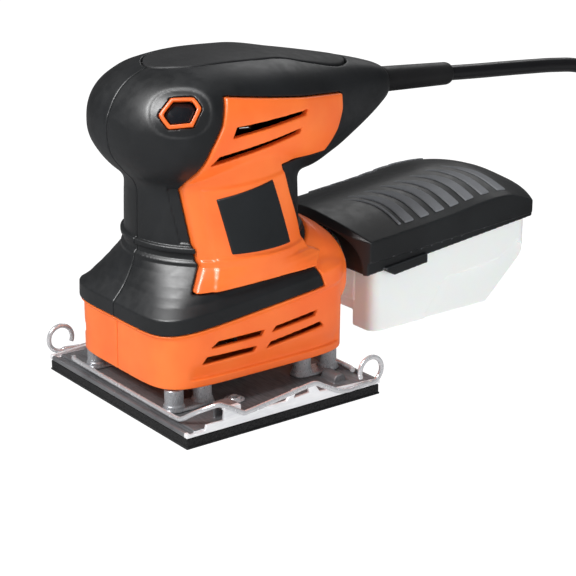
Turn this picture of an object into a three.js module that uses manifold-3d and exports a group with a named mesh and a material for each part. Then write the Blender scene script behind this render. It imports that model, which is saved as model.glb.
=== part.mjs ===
// Quarter-sheet palm sander: orbital platen with wire paper clamps, clamshell grip housing, dust box, cord.
// Millimetres, +Z up. Origin at the centre of the pad's underside. -X is the nose, +X the tail with the
// cord and the dust box, -Y the operator's left.
import * as THREE from 'three';
import { mergeVertices } from 'three/addons/utils/BufferGeometryUtils.js';
import Module from 'manifold-3d';

const wasm = await Module();
wasm.setup();

// ---------------------------------------------------------------- driving dimensions
const GAP = 0.3; // clearance between neighbouring pieces
const WALL = 2.6; // moulded wall of the housing and the shroud
const PANEL_PROUD = 1.0; // how far the orange side panel stands out of the black housing
const PAD_LENGTH = 99.6; // along X
const PAD_WIDTH = 110.4; // along Y
const FOAM_TOP = 3.0;
const PLATE_BOTTOM = FOAM_TOP + GAP;
const PLATE_TOP = 6.8;
const FLANGE = 1.8; // thickness of the plate's upright side flanges
const ORBIT = 0.8; // eccentric throw, so the pad runs in circles of 1.6 mm
const MOTOR_X = ORBIT; // the motor axis; the pad's own axis is the origin
const SKIRT_BOTTOM = 17.1;
const SKIRT_RISE = 0.1; // slope of the band above the skirt, up towards the tail
const COLUMN_TOP_RADIUS = 36.2;
const COLUMN_FOOT_RADIUS = 37.6;
const SHAFT_RADIUS = 4;
const ROTOR_RADIUS = 15.5;
const STATOR_RADIUS = 32.2;
const STATOR_SPAN = [60, 88];
const FAN_RADIUS = 31;
const FOOT_AT = [32.9, 31]; // X and Y of the feet between the platen and the shroud
const FOOT_POST = [7, 4.5]; // half the spacing of a foot's two posts, and their radius
const OUTLET_Z = 45; // axis of the dust outlet
const OUTLET_RADIUS = 15.2;
const SPIGOT_RADIUS = 14.4;
const RIM_FRONT = new THREE.Vector2(60, 46.9); // rim line of the dust box in X and Z
const RIM_REAR = new THREE.Vector2(157, 57.2);
const BOX_HALF_WIDTH = 33.2;
const BOX_WALL = 1.8;
const WIRE_RADIUS = 1.05;
const CORD_RADIUS = 3.5;
const COIL_CENTRE = [258, -62];
const COIL_RADIUS = 36.6; // at the middle of the turns
const COIL_SECTION = [13.8, 14.6]; // half width and height of the bundle of turns
const COIL_BOTTOM = 0.2; // just clear of the surface the sander stands on

// ---------------------------------------------------------------- finishes
const finish = (color, roughness, metalness = 0, extra = {}) =>
  new THREE.MeshStandardMaterial({ color, roughness, metalness, ...extra });
const ORANGE = finish(0xf26a2a, 0.42);
const BLACK = finish(0x2b2c2e, 0.55);
const SOFT_BLACK = finish(0x242527, 0.8);
const DARK = finish(0x26292c, 0.5);
const RUBBER = finish(0x1b1b1c, 0.85);
const FOAM = finish(0x161616, 0.95);
const STEEL = finish(0xb9bcc0, 0.3, 1);
const CHROME = finish(0xd8dadc, 0.18, 1);
const ALUMINIUM = finish(0xa9acae, 0.4, 0.95);
const LAMINATION = finish(0x74777a, 0.5, 0.9);
const COPPER = finish(0xb4652f, 0.35, 0.9);
const BRASS = finish(0xc9a24a, 0.35, 0.9);
const CARBON = finish(0x2a2a2a, 0.7);
const FROSTED = finish(0xeceeee, 0.35, 0, { transparent: true, opacity: 0.7 });
const PAPER = finish(0xe9e4d6, 0.9);

// ---------------------------------------------------------------- solids
/** A closed geometry as a solid that can be cut and joined. */
function solid(geometry) {
  const bare = new THREE.BufferGeometry();
  bare.setAttribute('position', geometry.attributes.position.clone());
  if (geometry.index) bare.setIndex(geometry.index.clone());
  const merged = mergeVertices(bare, 1e-3);
  const corners = [];
  for (let i = 0; i < merged.index.count; i += 3) {
    const [a, b, c] = [0, 1, 2].map((k) => merged.index.getX(i + k));
    if (a !== b && b !== c && c !== a) corners.push(a, b, c);
  }
  return new wasm.Manifold(new wasm.Mesh({
    numProp: 3,
    vertProperties: new Float32Array(merged.attributes.position.array),
    triVerts: new Uint32Array(corners),
  }));
}

/** A solid back as a geometry. */
function geometryOf(body) {
  const mesh = body.getMesh();
  const geometry = new THREE.BufferGeometry();
  geometry.setAttribute('position', new THREE.BufferAttribute(new Float32Array(mesh.vertProperties), 3));
  geometry.setIndex(new THREE.BufferAttribute(new Uint32Array(mesh.triVerts), 1));
  geometry.computeVertexNormals();
  return geometry;
}

const join = (...bodies) => bodies.reduce((all, body) => all.add(body));
const cut = (body, ...tools) => tools.reduce((rest, tool) => rest.subtract(tool), body);

/** A box from its lowest to its highest corner. */
function block(low, high) {
  const size = high.map((value, k) => value - low[k]);
  return solid(new THREE.BoxGeometry(...size).translate(...low.map((value, k) => value + size[k] / 2)));
}

/** A cylinder standing on Z at x, y. */
function post(x, y, z0, z1, radius, sides = 20) {
  const geometry = new THREE.CylinderGeometry(radius, radius, z1 - z0, sides);
  return solid(geometry.rotateX(Math.PI / 2).translate(x, y, (z0 + z1) / 2));
}

/** A cylinder lying along Y at x, z. */
function crossPin(x, z, y0, y1, radius, sides = 10) {
  const geometry = new THREE.CylinderGeometry(radius, radius, y1 - y0, sides);
  return solid(geometry.translate(x, (y0 + y1) / 2, z));
}

/** A cylinder lying along X at y, z. */
function spindle(y, z, x0, x1, radius, sides = 20) {
  const geometry = new THREE.CylinderGeometry(radius, radius, x1 - x0, sides);
  return solid(geometry.rotateZ(-Math.PI / 2).translate((x0 + x1) / 2, y, z));
}

/** An outline in X and Z, extruded along Y. */
function sidePrism(outline, y0, y1) {
  const shape = new THREE.Shape(outline.map(([x, z]) => new THREE.Vector2(x, z)));
  const geometry = new THREE.ExtrudeGeometry(shape, { depth: y1 - y0, bevelEnabled: false });
  return solid(geometry.rotateX(Math.PI / 2).translate(0, y1, 0));
}

/** An outline in Y and Z, extruded along X. */
function frontPrism(outline, x0, x1) {
  const shape = new THREE.Shape(outline.map(([y, z]) => new THREE.Vector2(y, z)));
  const geometry = new THREE.ExtrudeGeometry(shape, { depth: x1 - x0, bevelEnabled: false });
  return solid(geometry.rotateX(Math.PI / 2).rotateZ(Math.PI / 2).translate(x0, 0, 0));
}

/** An outline in X and Y, extruded along Z. */
function flatPrism(outline, z0, z1) {
  const shape = new THREE.Shape(outline.map(([x, y]) => new THREE.Vector2(x, y)));
  return solid(new THREE.ExtrudeGeometry(shape, { depth: z1 - z0, bevelEnabled: false }).translate(0, 0, z0));
}

/** The outline moved outwards by a margin. Its points run anticlockwise. */
function widened(outline, margin) {
  return outline.map(([x, z], i) => {
    const before = outline[(i + outline.length - 1) % outline.length];
    const after = outline[(i + 1) % outline.length];
    const into = new THREE.Vector2(x - before[0], z - before[1]).normalize();
    const away = new THREE.Vector2(after[0] - x, after[1] - z).normalize();
    const normal = new THREE.Vector2(into.y + away.y, -into.x - away.x).normalize();
    const stretch = Math.max(normal.x * into.y - normal.y * into.x, 0.35);
    return [x + (normal.x * margin) / stretch, z + (normal.y * margin) / stretch];
  });
}

/** A profile of radius and height turned about Z. */
function turned(profile, sides = 20) {
  const points = profile.map(([radius, height]) => new THREE.Vector2(radius, height));
  return new THREE.LatheGeometry(points, sides).rotateX(Math.PI / 2);
}

/** The radius of a superellipse of the given squareness at an angle, for half axes of 1. */
const squircle = (angle, squareness) =>
  (Math.abs(Math.cos(angle)) ** squareness + Math.abs(Math.sin(angle)) ** squareness) ** (-1 / squareness);

/** A skin over stations: a closed tube whose rings are placed by a function of station, angle and reach. */
function skin(sides, stations, place) {
  const rings = stations.length - 1;
  const geometry = new THREE.CylinderGeometry(1, 1, 1, sides, rings);
  const position = geometry.attributes.position;
  for (let i = 0; i < position.count; i += 1) {
    const station = stations[Math.round((position.getY(i) + 0.5) * rings)];
    const reach = Math.hypot(position.getX(i), position.getZ(i)) > 0.5 ? 1 : 0;
    const turn = Math.atan2(position.getZ(i), position.getX(i));
    position.setXYZ(i, ...place(station, turn, reach));
  }
  return solid(geometry);
}

/** A straight-sided wire or cord: a round section swept along a curve. */
function swept(curve, radius, sides, steps) {
  const circle = new THREE.Shape();
  for (let k = 0; k < sides; k += 1) {
    const angle = (2 * Math.PI * k) / sides;
    const point = [radius * Math.cos(angle), radius * Math.sin(angle)];
    if (k === 0) circle.moveTo(...point);
    else circle.lineTo(...point);
  }
  return new THREE.ExtrudeGeometry(circle, { steps, extrudePath: curve, bevelEnabled: false });
}

const path = (points) =>
  new THREE.CatmullRomCurve3(points.map((point) => new THREE.Vector3(...point)), false, 'centripetal');

// ---------------------------------------------------------------- outer form of the body
// Height, front X, rear X, half width, squareness.
const BASE_STATIONS = [
  [SKIRT_BOTTOM, -47.8, 49.2, 39.4, 5.5],
  [38.4, -47.4, 49.2, 40.0, 5.5],
  [41.2, -49.0, 49.2, 41.5, 5.5],
  [47.2, -48.8, 49.0, 41.3, 5.5],
  [50.6, -45.6, 46.5, 38.4, 4.6],
  [57.2, -41.3, 42.6, 37.8, 3.0],
  [61.4, -38.9, 40.0, 38.2, 2.3],
  [65.0, -37.2, 38.2, 37.2, 2.0],
];

/** How much of the band's slope a height takes: none at the hem and at the neck. */
function slopeShare(z) {
  if (z < 38) return (z - SKIRT_BOTTOM) / (38 - SKIRT_BOTTOM);
  return z < 51 ? 1 : Math.max(0, (65 - z) / (65 - 51));
}

/** The rectangular foot of the body that tapers to the round neck. */
function baseForm(offset) {
  return skin(28, BASE_STATIONS, ([z, front, rear, halfWidth, squareness], turn, reach) => {
    const radius = squircle(turn, squareness) * reach;
    const halfLength = (rear - front) / 2 + offset;
    const x = (front + rear) / 2 + halfLength * radius * Math.cos(turn);
    const y = (halfWidth + offset) * radius * -Math.sin(turn);
    const low = z === SKIRT_BOTTOM && offset < 0 ? z - 2 : z;
    return [x, y, low + slopeShare(z) * SKIRT_RISE * (x - front)];
  });
}

/** The round column. */
function columnForm(offset) {
  const taper = new THREE.CylinderGeometry(COLUMN_TOP_RADIUS + offset, COLUMN_FOOT_RADIUS + offset, 56, 28);
  return solid(taper.rotateX(Math.PI / 2).translate(MOTOR_X, 0, 84));
}

/** The bead round the column's foot. */
const columnBead = () => post(MOTOR_X, 0, 69.8, 73, COLUMN_FOOT_RADIUS + 1, 28);

// X, lowest Z, highest Z, half width.
const HEAD_STATIONS = [
  [-48.9, 115.5, 123.5, 8.0],
  [-47.6, 110.4, 127.2, 17.0],
  [-43.8, 104.6, 134.0, 24.8],
  [-38.2, 99.0, 139.2, 31.0],
  [-31.6, 96.0, 142.4, 35.4],
  [-20.6, 95.0, 145.4, 39.2],
  [-2.0, 95.0, 147.2, 40.4],
  [18.0, 94.8, 146.6, 38.4],
  [38.0, 91.4, 143.3, 31.8],
  [54.8, 95.6, 140.1, 24.4],
  [70.0, 102.0, 136.8, 17.8],
  [82.4, 108.8, 133.6, 13.2],
  [88.0, 113.0, 131.6, 11.4],
  [92.0, 116.2, 128.6, 9.4],
];
const WAIST = 0.52; // where a section is widest, as a share of its height

/** The grip: a blunt nose over the column, tapering back to the cord exit. */
function headForm(offset) {
  return skin(22, HEAD_STATIONS, ([x, low, high, halfWidth], turn, reach) => {
    const widest = low + (high - low) * WAIST;
    const up = Math.cos(turn) > 0;
    const radius = squircle(turn, up ? 2.7 : 2.2) * reach;
    const height = up ? high - widest + offset : widest - low + offset;
    const y = (halfWidth + offset) * radius * Math.sin(turn);
    return [x * (1 + offset / (x < 0 ? 48.9 : 92)), y, widest + height * radius * Math.cos(turn)];
  });
}

// X, lowest Z, highest Z, half width.
const DUCT_STATIONS = [
  [14.0, 30.0, 75.0, 34.0],
  [36.0, 30.0, 74.0, 35.0],
  [42.0, 30.0, 71.4, 34.6],
  [47.0, 30.4, 68.0, 33.8],
  [50.6, 32.5, 63.6, 31.6],
];

/** The domed dust duct behind the column. */
function ductForm(offset) {
  return skin(20, DUCT_STATIONS, ([x, low, high, halfWidth], turn, reach) => {
    const radius = squircle(turn, 2.6) * reach;
    const y = (halfWidth + offset) * radius * Math.sin(turn);
    const z = (low + high) / 2 + ((high - low) / 2 + offset) * radius * Math.cos(turn);
    return [x + (x > 45 ? offset : 0), y, z];
  });
}

/** The whole body, grown or shrunk by an offset. */
const bodyForm = (offset) => join(baseForm(offset), columnForm(offset), headForm(offset), ductForm(offset));

// ---------------------------------------------------------------- where orange and black meet
// Outlines in X and Z, anticlockwise.
const SKIRT_OUTLINE = [
  [-70, 5], [75, 5], [75, 77], [38, 74.2], [27.4, 65.5], [27.3, 58.2], [31, 49], [-47, 40.4], [-70, 39],
];
const PANEL_OUTLINE = [
  [-30.7, 56], [27.3, 58.2], [33, 63], [27.4, 65.5], [23.5, 76], [16.5, 91], [12, 103.8], [39.5, 104.1],
  [46.6, 112.2], [50.2, 120], [50.4, 126.8], [-16.3, 135.4], [-19.4, 124.4], [-23.7, 115.8],
  [-28.3, 97.7], [-24.5, 65],
];
const GRIP_OUTLINE = [
  [-29, 0], [-26, -9], [-19, -16], [-4, -20], [20, -20.6], [48, -18.4], [63, -12], [68, 0],
  [63, 12], [48, 18.4], [20, 20.6], [-4, 20], [-19, 16], [-26, 9],
];
const LABEL_OUTLINE = [[-13.7, 70.2], [15.4, 70.4], [5.2, 99.1], [-19, 93.5]];

/** A slot through the side wall, from its four corners in X and Z. */
const SIDE_SLOTS = [
  [[-15.4, 119.3], [22.2, 123.4], [23.6, 125.6], [-13.5, 123.6]],
  [[-23.4, 108.2], [18.8, 116.4], [20.2, 118.6], [-20.5, 112.2]],
  [[-26.8, 33.1], [-1.2, 33.3], [0.1, 35.6], [-23.1, 35.6]],
  [[3.8, 33.8], [26.6, 36.2], [27.8, 38.6], [6, 36]],
  [[-30.7, 26.8], [-5.2, 27.2], [-3.5, 29.4], [-28.5, 29.7]],
  [[0.9, 27.2], [31.9, 30.6], [29.5, 32.8], [3.2, 29.6]],
];
const SWITCH_AT = [-34.4, -31.7, 131];
const SWITCH_TURN = [-21.7, 0, -34]; // Euler angles that bring the -Y axis to the button's axis
const SWITCH_OUTLINE = [[-8.8, -0.7], [-4.7, -6.4], [4.9, -5.5], [8.6, 1.8], [5.5, 6.3], [-3.5, 6.1]];
const BEZEL_WIDTH = 1.5;
const BUTTON_DEPTH = 14; // from the skin to the button's inner end
const SCREW_BOSSES = [[-39.5, 113], [56, 118], [30, 135], [-38, 47], [-41.6, 27]]; // X and Z
const SKIRT_SCREW = 4; // the boss that belongs to the orange shroud
const HEAD_SEAT = 5.5; // Y of the shoulder that the screw heads rest on

const leftHalf = () => block([-120, -120, -20], [220, -GAP / 2, 220]);
const rightHalf = () => block([-120, GAP / 2, -20], [220, 120, 220]);

/** The slots through one side. */
const sideSlots = (y0, y1) => join(...SIDE_SLOTS.map((outline) => sidePrism(outline, y0, y1)));

/** The bosses for the screws at the given places, with their holes and head recesses. */
function addBosses(shell, form, places) {
  return places.reduce((body, [x, z]) => {
    const boss = crossPin(x, z, -60, 60, 5.2).intersect(form);
    const hole = crossPin(x, z, -8, 60, 2.1, 8);
    return cut(join(body, boss), hole, crossPin(x, z, HEAD_SEAT, 60, 4.1));
  }, shell);
}

/** The black housing before it is split: nose, column, shoulder, band and tail. */
function housingShell() {
  const inside = bodyForm(-WALL);
  const web = cut(block([-34.9, -14, 113.4], [18, 14, 116.6]), post(MOTOR_X, 0, 110, 120, 12.9));
  const orange = join(
    sidePrism(widened(SKIRT_OUTLINE, GAP), -90, 90),
    sidePrism(widened(PANEL_OUTLINE, GAP), -90, 90),
  );
  const gripPocket = cut(bodyForm(1), bodyForm(-1.7)).intersect(
    flatPrism(widened(GRIP_OUTLINE, GAP), 120, 170));
  const shell = cut(join(bodyForm(0), columnBead()), inside, orange, gripPocket);
  const bosses = SCREW_BOSSES.slice(0, SKIRT_SCREW);
  return join(addBosses(shell, bodyForm(-WALL / 2), bosses), web);
}

/** The switch's outline widened by a margin and extruded along the button's axis, inwards from the skin. */
const switchPrism = (margin, from, to) =>
  sidePrism(widened(SWITCH_OUTLINE, margin), from, to).rotate(SWITCH_TURN).translate(SWITCH_AT);

/** The openings in the black housing for the button and the cord. */
function housingOpenings() {
  return join(switchPrism(GAP + 0.1, -12, 12), spindle(0, 123.3, 84, 100, 5.1));
}

/** The orange shroud before it is split: skirt, side panels and duct. */
function shroudShell() {
  const skirt = bodyForm(0).intersect(sidePrism(SKIRT_OUTLINE, -90, 90));
  const panel = bodyForm(PANEL_PROUD).intersect(sidePrism(PANEL_OUTLINE, -90, 90));
  const collar = spindle(0, OUTLET_Z, 42, 50.2, OUTLET_RADIUS + 2);
  const shell = cut(join(skirt, panel), bodyForm(-WALL));
  const drum = cut(join(shell, collar), spindle(0, OUTLET_Z, 30, 70, OUTLET_RADIUS, 24));
  return cut(
    addBosses(drum, bodyForm(-WALL / 2), SCREW_BOSSES.slice(SKIRT_SCREW)),
    sideSlots(-90, -20),
    sideSlots(20, 90),
  );
}

/** The soft inlay on the palm. */
function palmGrip() {
  return cut(bodyForm(0), bodyForm(-1.4)).intersect(flatPrism(GRIP_OUTLINE, 120, 170));
}

/** A blank plate on the side panel. side is -1 for the left. */
function labelPlate(side) {
  const skinAbove = cut(columnForm(PANEL_PROUD + 0.9), columnForm(PANEL_PROUD + GAP));
  const reach = side < 0 ? [-90, -10] : [10, 90];
  return skinAbove.intersect(sidePrism(LABEL_OUTLINE, ...reach));
}

// ---------------------------------------------------------------- switch
/** The orange ring round the button. */
function switchBezel() {
  const ring = cut(switchPrism(0, -8, 10), switchPrism(-BEZEL_WIDTH, -9, 11));
  return ring.intersect(headForm(0.5)).subtract(headForm(-3));
}

/** The push button, below the ring, with the finger that presses on the switch. */
function switchButton() {
  const cap = switchPrism(-BEZEL_WIDTH - 0.5, -8, BUTTON_DEPTH).intersect(headForm(-1.8));
  const finger = block([-27, -25, 122.5], [-14, -12, 126.5]);
  return join(cap, finger);
}

// ---------------------------------------------------------------- motor
/** The laminated rotor with its winding slots. */
function rotorCore() {
  const slots = 12;
  const shape = new THREE.Shape();
  for (let k = 0; k < slots; k += 1) {
    const pitch = (2 * Math.PI) / slots;
    const corners = [[ROTOR_RADIUS, -0.42], [ROTOR_RADIUS, 0], [ROTOR_RADIUS, 0.42], [11, 0.44], [11, 0.56]];
    corners.forEach(([radius, share]) => {
      const angle = (k + share) * pitch;
      const point = [radius * Math.cos(angle), radius * Math.sin(angle)];
      if (shape.curves.length === 0 && shape.currentPoint.lengthSq() === 0) shape.moveTo(...point);
      else shape.lineTo(...point);
    });
  }
  const bore = new THREE.Path();
  bore.absarc(0, 0, SHAFT_RADIUS + GAP, 0, 2 * Math.PI, true);
  shape.holes.push(bore);
  const depth = STATOR_SPAN[1] - STATOR_SPAN[0];
  const geometry = new THREE.ExtrudeGeometry(shape, { depth, bevelEnabled: false, curveSegments: 12 });
  return geometryOf(solid(geometry.translate(0, 0, STATOR_SPAN[0])));
}

/** A ring of rectangular or rounded section from a closed profile of radius and height. */
const ringOf = (inner, outer, z0, z1, sides = 36) =>
  turned([[inner, z0], [outer, z0], [outer, z1], [inner, z1], [inner, z0]], sides);

/** The wound end turns beside the rotor core. */
const endTurns = (z0, z1) => turned([
  [SHAFT_RADIUS + GAP, z0], [9, z0], [13.4, z0 + 1.6], [14.4, (z0 + z1) / 2], [13.4, z1 - 1.6], [9, z1],
  [SHAFT_RADIUS + GAP, z1], [SHAFT_RADIUS + GAP, z0],
], 16);

/** The stator: a round yoke with two poles. */
function statorCore() {
  const [z0, z1] = STATOR_SPAN;
  const yoke = cut(post(0, 0, z0, z1, STATOR_RADIUS, 28), post(0, 0, z0 - 1, z1 + 1, 29, 28));
  const poles = block([-29.5, -10.4, z0], [29.5, 10.4, z1]);
  return cut(join(yoke, poles), post(0, 0, z0 - 1, z1 + 1, ROTOR_RADIUS + 0.9, 28));
}

/** One field coil, a closed loop round a pole. side is -1 for the front one. */
function fieldCoil(side) {
  const [z0, z1] = STATOR_SPAN;
  const reach = [18, 23].map((x) => x * side).sort((a, b) => a - b);
  const loop = block([reach[0], -16.4, z0 - 7], [reach[1], 16.4, z1 + 7]);
  return cut(loop, block([-40, -10.8, z0 - GAP], [40, 10.8, z1 + GAP]));
}

/** The fan: a back plate with curved blades and a boss. */
function fan() {
  const blades = 11;
  const parts = [post(0, 0, 36, 37.6, FAN_RADIUS, 28), post(0, 0, 29, 37.6, 8, 12)];
  for (let k = 0; k < blades; k += 1) {
    const blade = new THREE.BoxGeometry(19, 1.5, 7.4).translate(20.2, -4, 32.6);
    parts.push(solid(blade.rotateZ((2 * Math.PI * k) / blades)));
  }
  return cut(join(...parts), post(0, 0, 20, 40, SHAFT_RADIUS + GAP, 12));
}

/** The eccentric with its crank pin and the counterweight opposite the throw. */
function eccentric() {
  const disc = post(0, 0, 18.4, 27, 10);
  const weight = cut(post(0, 0, 18.4, 27, 24, 24), block([-14, -30, 10], [30, 30, 30]));
  const pin = post(-ORBIT, 0, 8.6, 19, 4.9, 16);
  const web = block([-15, -9, 18.4], [0, 9, 27]);
  const bore = post(0, 0, 20.5, 30, SHAFT_RADIUS + GAP, 12);
  return cut(join(disc, weight, web, pin), bore, post(-ORBIT, 0, 5, 17, 2.2, 8));
}

/** A ball bearing as one ring. */
const bearing = (bore, outside, z0, z1) => turned([
  [bore, z0], [outside, z0], [outside, z1], [outside - 1.7, z1], [outside - 1.7, z1 - 0.6],
  [bore + 1.7, z1 - 0.6], [bore + 1.7, z1], [bore, z1], [bore, z0],
], 20);

/** The cast bracket that carries the lower motor bearing inside the shoulder. */
function bearingBracket() {
  const disc = post(0, 0, 42.4, 45, 34.2, 28);
  const boss = post(0, 0, 42.4, 50.6, 14);
  const holes = [0, 1, 2, 3, 4, 5].map((k) => {
    const angle = (k + 0.5) * (Math.PI / 3);
    return post(24 * Math.cos(angle), 24 * Math.sin(angle), 40, 52, 5.6, 8);
  });
  return cut(join(disc, boss), post(0, 0, 43.9, 52, 11 + GAP), post(0, 0, 40, 52, 6, 12), ...holes);
}

/** A brush holder tube along Y. side is -1 for the left. */
function brushHolder(side) {
  const reach = [11.2, 26].map((y) => y * side).sort((a, b) => a - b);
  const tube = block([-4.6, reach[0], 99.6], [4.6, reach[1], 108.4]);
  return cut(tube, block([-3.4, -40, 100.8], [3.4, 40, 107.2]));
}

/** A carbon brush in its holder. */
function carbonBrush(side) {
  const reach = [9.6, 22].map((y) => y * side).sort((a, b) => a - b);
  return block([-3.1, reach[0], 101.1], [3.1, reach[1], 106.9]);
}

// ---------------------------------------------------------------- platen
const HALF_LENGTH = PAD_LENGTH / 2;
const HALF_WIDTH = PAD_WIDTH / 2;
// Top edge of the left flange: X and Z from front to rear, ends on the plate.
const FLANGE_TOP = [
  [-49.6, 6.7], [-41.3, 6.7], [-40.6, 9], [-31.6, 8.6], [-31.5, 13.6], [-23.2, 13.6], [-22.9, 9], [-0.6, 8.7],
  [3, 13], [12, 13.4], [16.1, 9.6], [23, 8.7], [45, 7.6], [49.6, 6.9],
];
const TONGUE = [-31.5, -23.2]; // the flange's tall tab that is folded over the clamp wire
const KNUCKLE = [30.4, 37]; // X span of the boss beside the lever's loop

/** The plate's left-hand features: the flange, the folded tongue and the boss. */
function flangeSide() {
  const outer = -HALF_WIDTH;
  const inner = outer + FLANGE;
  const outline = [...FLANGE_TOP].reverse().concat([[-49.6, PLATE_BOTTOM], [49.6, PLATE_BOTTOM]]);
  const wall = sidePrism(outline, outer, inner);
  const knuckle = block([KNUCKLE[0], -48, PLATE_TOP - 0.5], [KNUCKLE[1], -38.5, 10.4]);
  const stop = block([TONGUE[0], inner - 0.2, 11.8], [TONGUE[1], -46, 13.6]);
  const leg = block([TONGUE[0], -47.8, PLATE_TOP - 0.5], [TONGUE[1], -46, 13.6]);
  return join(wall, knuckle, stop, leg);
}

/** The stamped plate with its hub for the pad bearing. */
function basePlate() {
  const sheet = block([-HALF_LENGTH, -HALF_WIDTH, PLATE_BOTTOM], [HALF_LENGTH, HALF_WIDTH, 5.6]);
  const raised = block([-HALF_LENGTH + 4.5, -HALF_WIDTH + 0.1, 5.5], [HALF_LENGTH - 4.5, HALF_WIDTH - 0.1, PLATE_TOP]);
  const lip = (side) => block(
    side < 0 ? [-HALF_LENGTH, -HALF_WIDTH, 5.5] : [HALF_LENGTH - 1.8, -HALF_WIDTH, 5.5],
    side < 0 ? [-HALF_LENGTH + 1.8, HALF_WIDTH, PLATE_TOP] : [HALF_LENGTH, HALF_WIDTH, PLATE_TOP],
  );
  const hub = post(0, 0, 5, 16.2, 16.4, 24);
  const left = flangeSide();
  const right = left.rotate([0, 0, 180]);
  const body = join(sheet, raised, lip(-1), lip(1), hub, left, right);
  const rivets = RIVETS.map(([x, y]) => post(x, y, 0, 20, 2.3, 8));
  return cut(body, post(0, 0, 8, 20, 13 + GAP), post(0, 0, 0, 20, 9, 16), ...rivets);
}

const FEET = [[-1, -1], [-1, 1], [1, -1], [1, 1]].map(([sx, sy]) => [sx * FOOT_AT[0], sy * FOOT_AT[1]]);
const RIVETS = [[-14, -37], [14, 37]];

/** A foot: two posts that stand on one pad and reach to just below the shroud's hem. */
function footPosts() {
  const [spacing, radius] = FOOT_POST;
  const floor = PLATE_TOP + GAP;
  const pad = block([-spacing, 0.8 - radius, floor], [spacing, radius - 0.8, floor + 1.2]);
  const pillar = (x) => solid(turned([
    [0, floor], [radius, floor], [radius, floor + 2], [radius - 0.5, floor + 2.8], [radius - 0.5, SKIRT_BOTTOM - 2],
    [radius - 1, SKIRT_BOTTOM - 2 * GAP], [0, SKIRT_BOTTOM - 2 * GAP],
  ], 18)).translate([x, 0, 0]);
  return join(pad, pillar(-spacing), pillar(spacing));
}

/** An eyelet rivet through the plate. */
const rivetProfile = [
  [1.2, 4], [2, 4], [2, PLATE_TOP + GAP], [4.3, PLATE_TOP + GAP], [4.1, PLATE_TOP + 1], [2.4, PLATE_TOP + 1.5],
  [1.2, PLATE_TOP + 1.3], [1.2, 4],
];

/** The clamp wire at the front with its lever on the left; the rear one is the same, turned half round. */
function clampWire() {
  const lever = -HALF_WIDTH - WIRE_RADIUS - 0.5;
  const route = [
    [-44.5, 43, 8.4], [-45.3, 41.5, 8.3], [-45.8, 38, 8.3], [-45.9, 20, 8.3], [-45.9, 0, 8.3], [-45.9, -25, 8.3],
    [-45.9, -41, 8.4], [-45.3, -45.4, 9.2], [-42.6, -49.2, 12], [-39.4, lever + 3.2, 14.8],
    [-35.6, lever + 0.4, 16.4], [-32.8, lever, 15.6], [-27.5, lever, 12.7],
    [-23.6, lever, 10.4], [-20.6, lever, 10.1], [-4, lever, 12.2], [9.6, lever, 14], [13.8, lever, 14],
    [17.6, lever, 12], [25.6, lever, 7.9], [28.9, lever, 7], [33, lever, 6.8],
  ];
  const [centreX, centreZ, radius] = [43.3, 12.9, 5.9];
  for (let k = 0; k <= 10; k += 1) {
    const angle = -Math.PI / 2 - 0.4 + (k / 10) * (2 * Math.PI - 0.75);
    const point = [centreX + radius * Math.cos(angle), lever, centreZ + radius * Math.sin(angle)];
    route.push(point);
  }
  return swept(path(route), WIRE_RADIUS, 6, 52);
}

// ---------------------------------------------------------------- dust box
const rimSlope = (RIM_REAR.y - RIM_FRONT.y) / (RIM_REAR.x - RIM_FRONT.x);
const rimAt = (x) => RIM_FRONT.y + rimSlope * (x - RIM_FRONT.x);

/** Everything below a line parallel to the rim. */
const belowRim = (lift) => sidePrism(
  [[0, -20], [260, -20], [260, rimAt(260) + lift], [0, rimAt(0) + lift]], -80, 80);

/** The tub's outer form, shrunk by an inset. */
function tubForm(inset) {
  const side = [
    [63 + inset, 17.3 + inset], [134 - inset * 0.6, 17.3 + inset], [156.4 - inset, 43.8 + inset * 0.4],
    [156.4 - inset, 90], [63 + inset, 90],
  ];
  const half = BOX_HALF_WIDTH - inset;
  const [x0, x1, corner] = [63 + inset, 156.4 - inset, 7];
  const plan = new THREE.Shape();
  plan.moveTo(x0 + corner, -half);
  plan.lineTo(x1 - corner, -half);
  plan.absarc(x1 - corner, -half + corner, corner, -Math.PI / 2, 0, false);
  plan.absarc(x1 - corner, half - corner, corner, 0, Math.PI / 2, false);
  plan.absarc(x0 + corner, half - corner, corner, Math.PI / 2, Math.PI, false);
  plan.absarc(x0 + corner, -half + corner, corner, Math.PI, 1.5 * Math.PI, false);
  const column = new THREE.ExtrudeGeometry(plan, { depth: 90, bevelEnabled: false, curveSegments: 5 });
  return solid(column).intersect(sidePrism(side, -60, 60));
}

// The raised part of the tub's front wall, in Y and Z.
const GATE_OUTLINE = [[-20, 30], [20, 30], [20, 50], [15, 57.5], [7, 61], [-7, 61], [-15, 57.5], [-20, 50]];

/** The frosted tub with the spigot that plugs into the duct. */
function dustContainer() {
  const bay = (margin) => block([50, -17 - margin, 10], [88 + margin, 17 + margin, 24.5 + margin]);
  const shell = cut(tubForm(0).intersect(belowRim(3.4)), bay(0));
  const tub = cut(shell, cut(tubForm(BOX_WALL), bay(BOX_WALL)));
  const gate = frontPrism(GATE_OUTLINE, 63, 63 + BOX_WALL);
  const spigot = spindle(0, OUTLET_Z, 44, 64, SPIGOT_RADIUS, 24);
  return cut(join(tub, gate, spigot), spindle(0, OUTLET_Z, 40, 70, SPIGOT_RADIUS - BOX_WALL, 24));
}

// X, highest Z, half width.
const LID_STATIONS = [
  [49.2, 72.6, 37.0], [60, 73.6, 37.2], [73, 74.9, 37.3], [106, 77.7, 37.4], [127, 79.6, 37.4], [140, 78.9, 37.4],
  [151, 76.1, 37.4], [158, 73, 36.8], [162, 70.4, 34], [165, 67.4, 26],
];
const LID_BASE = 40; // the level from which the lid's arches are drawn
const LID_FRONT_WALL = [57.6, 62.6]; // X span of the wall between the hood and the box
const LATCH_SPAN = [69, 91]; // X span of the latch tabs

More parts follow.
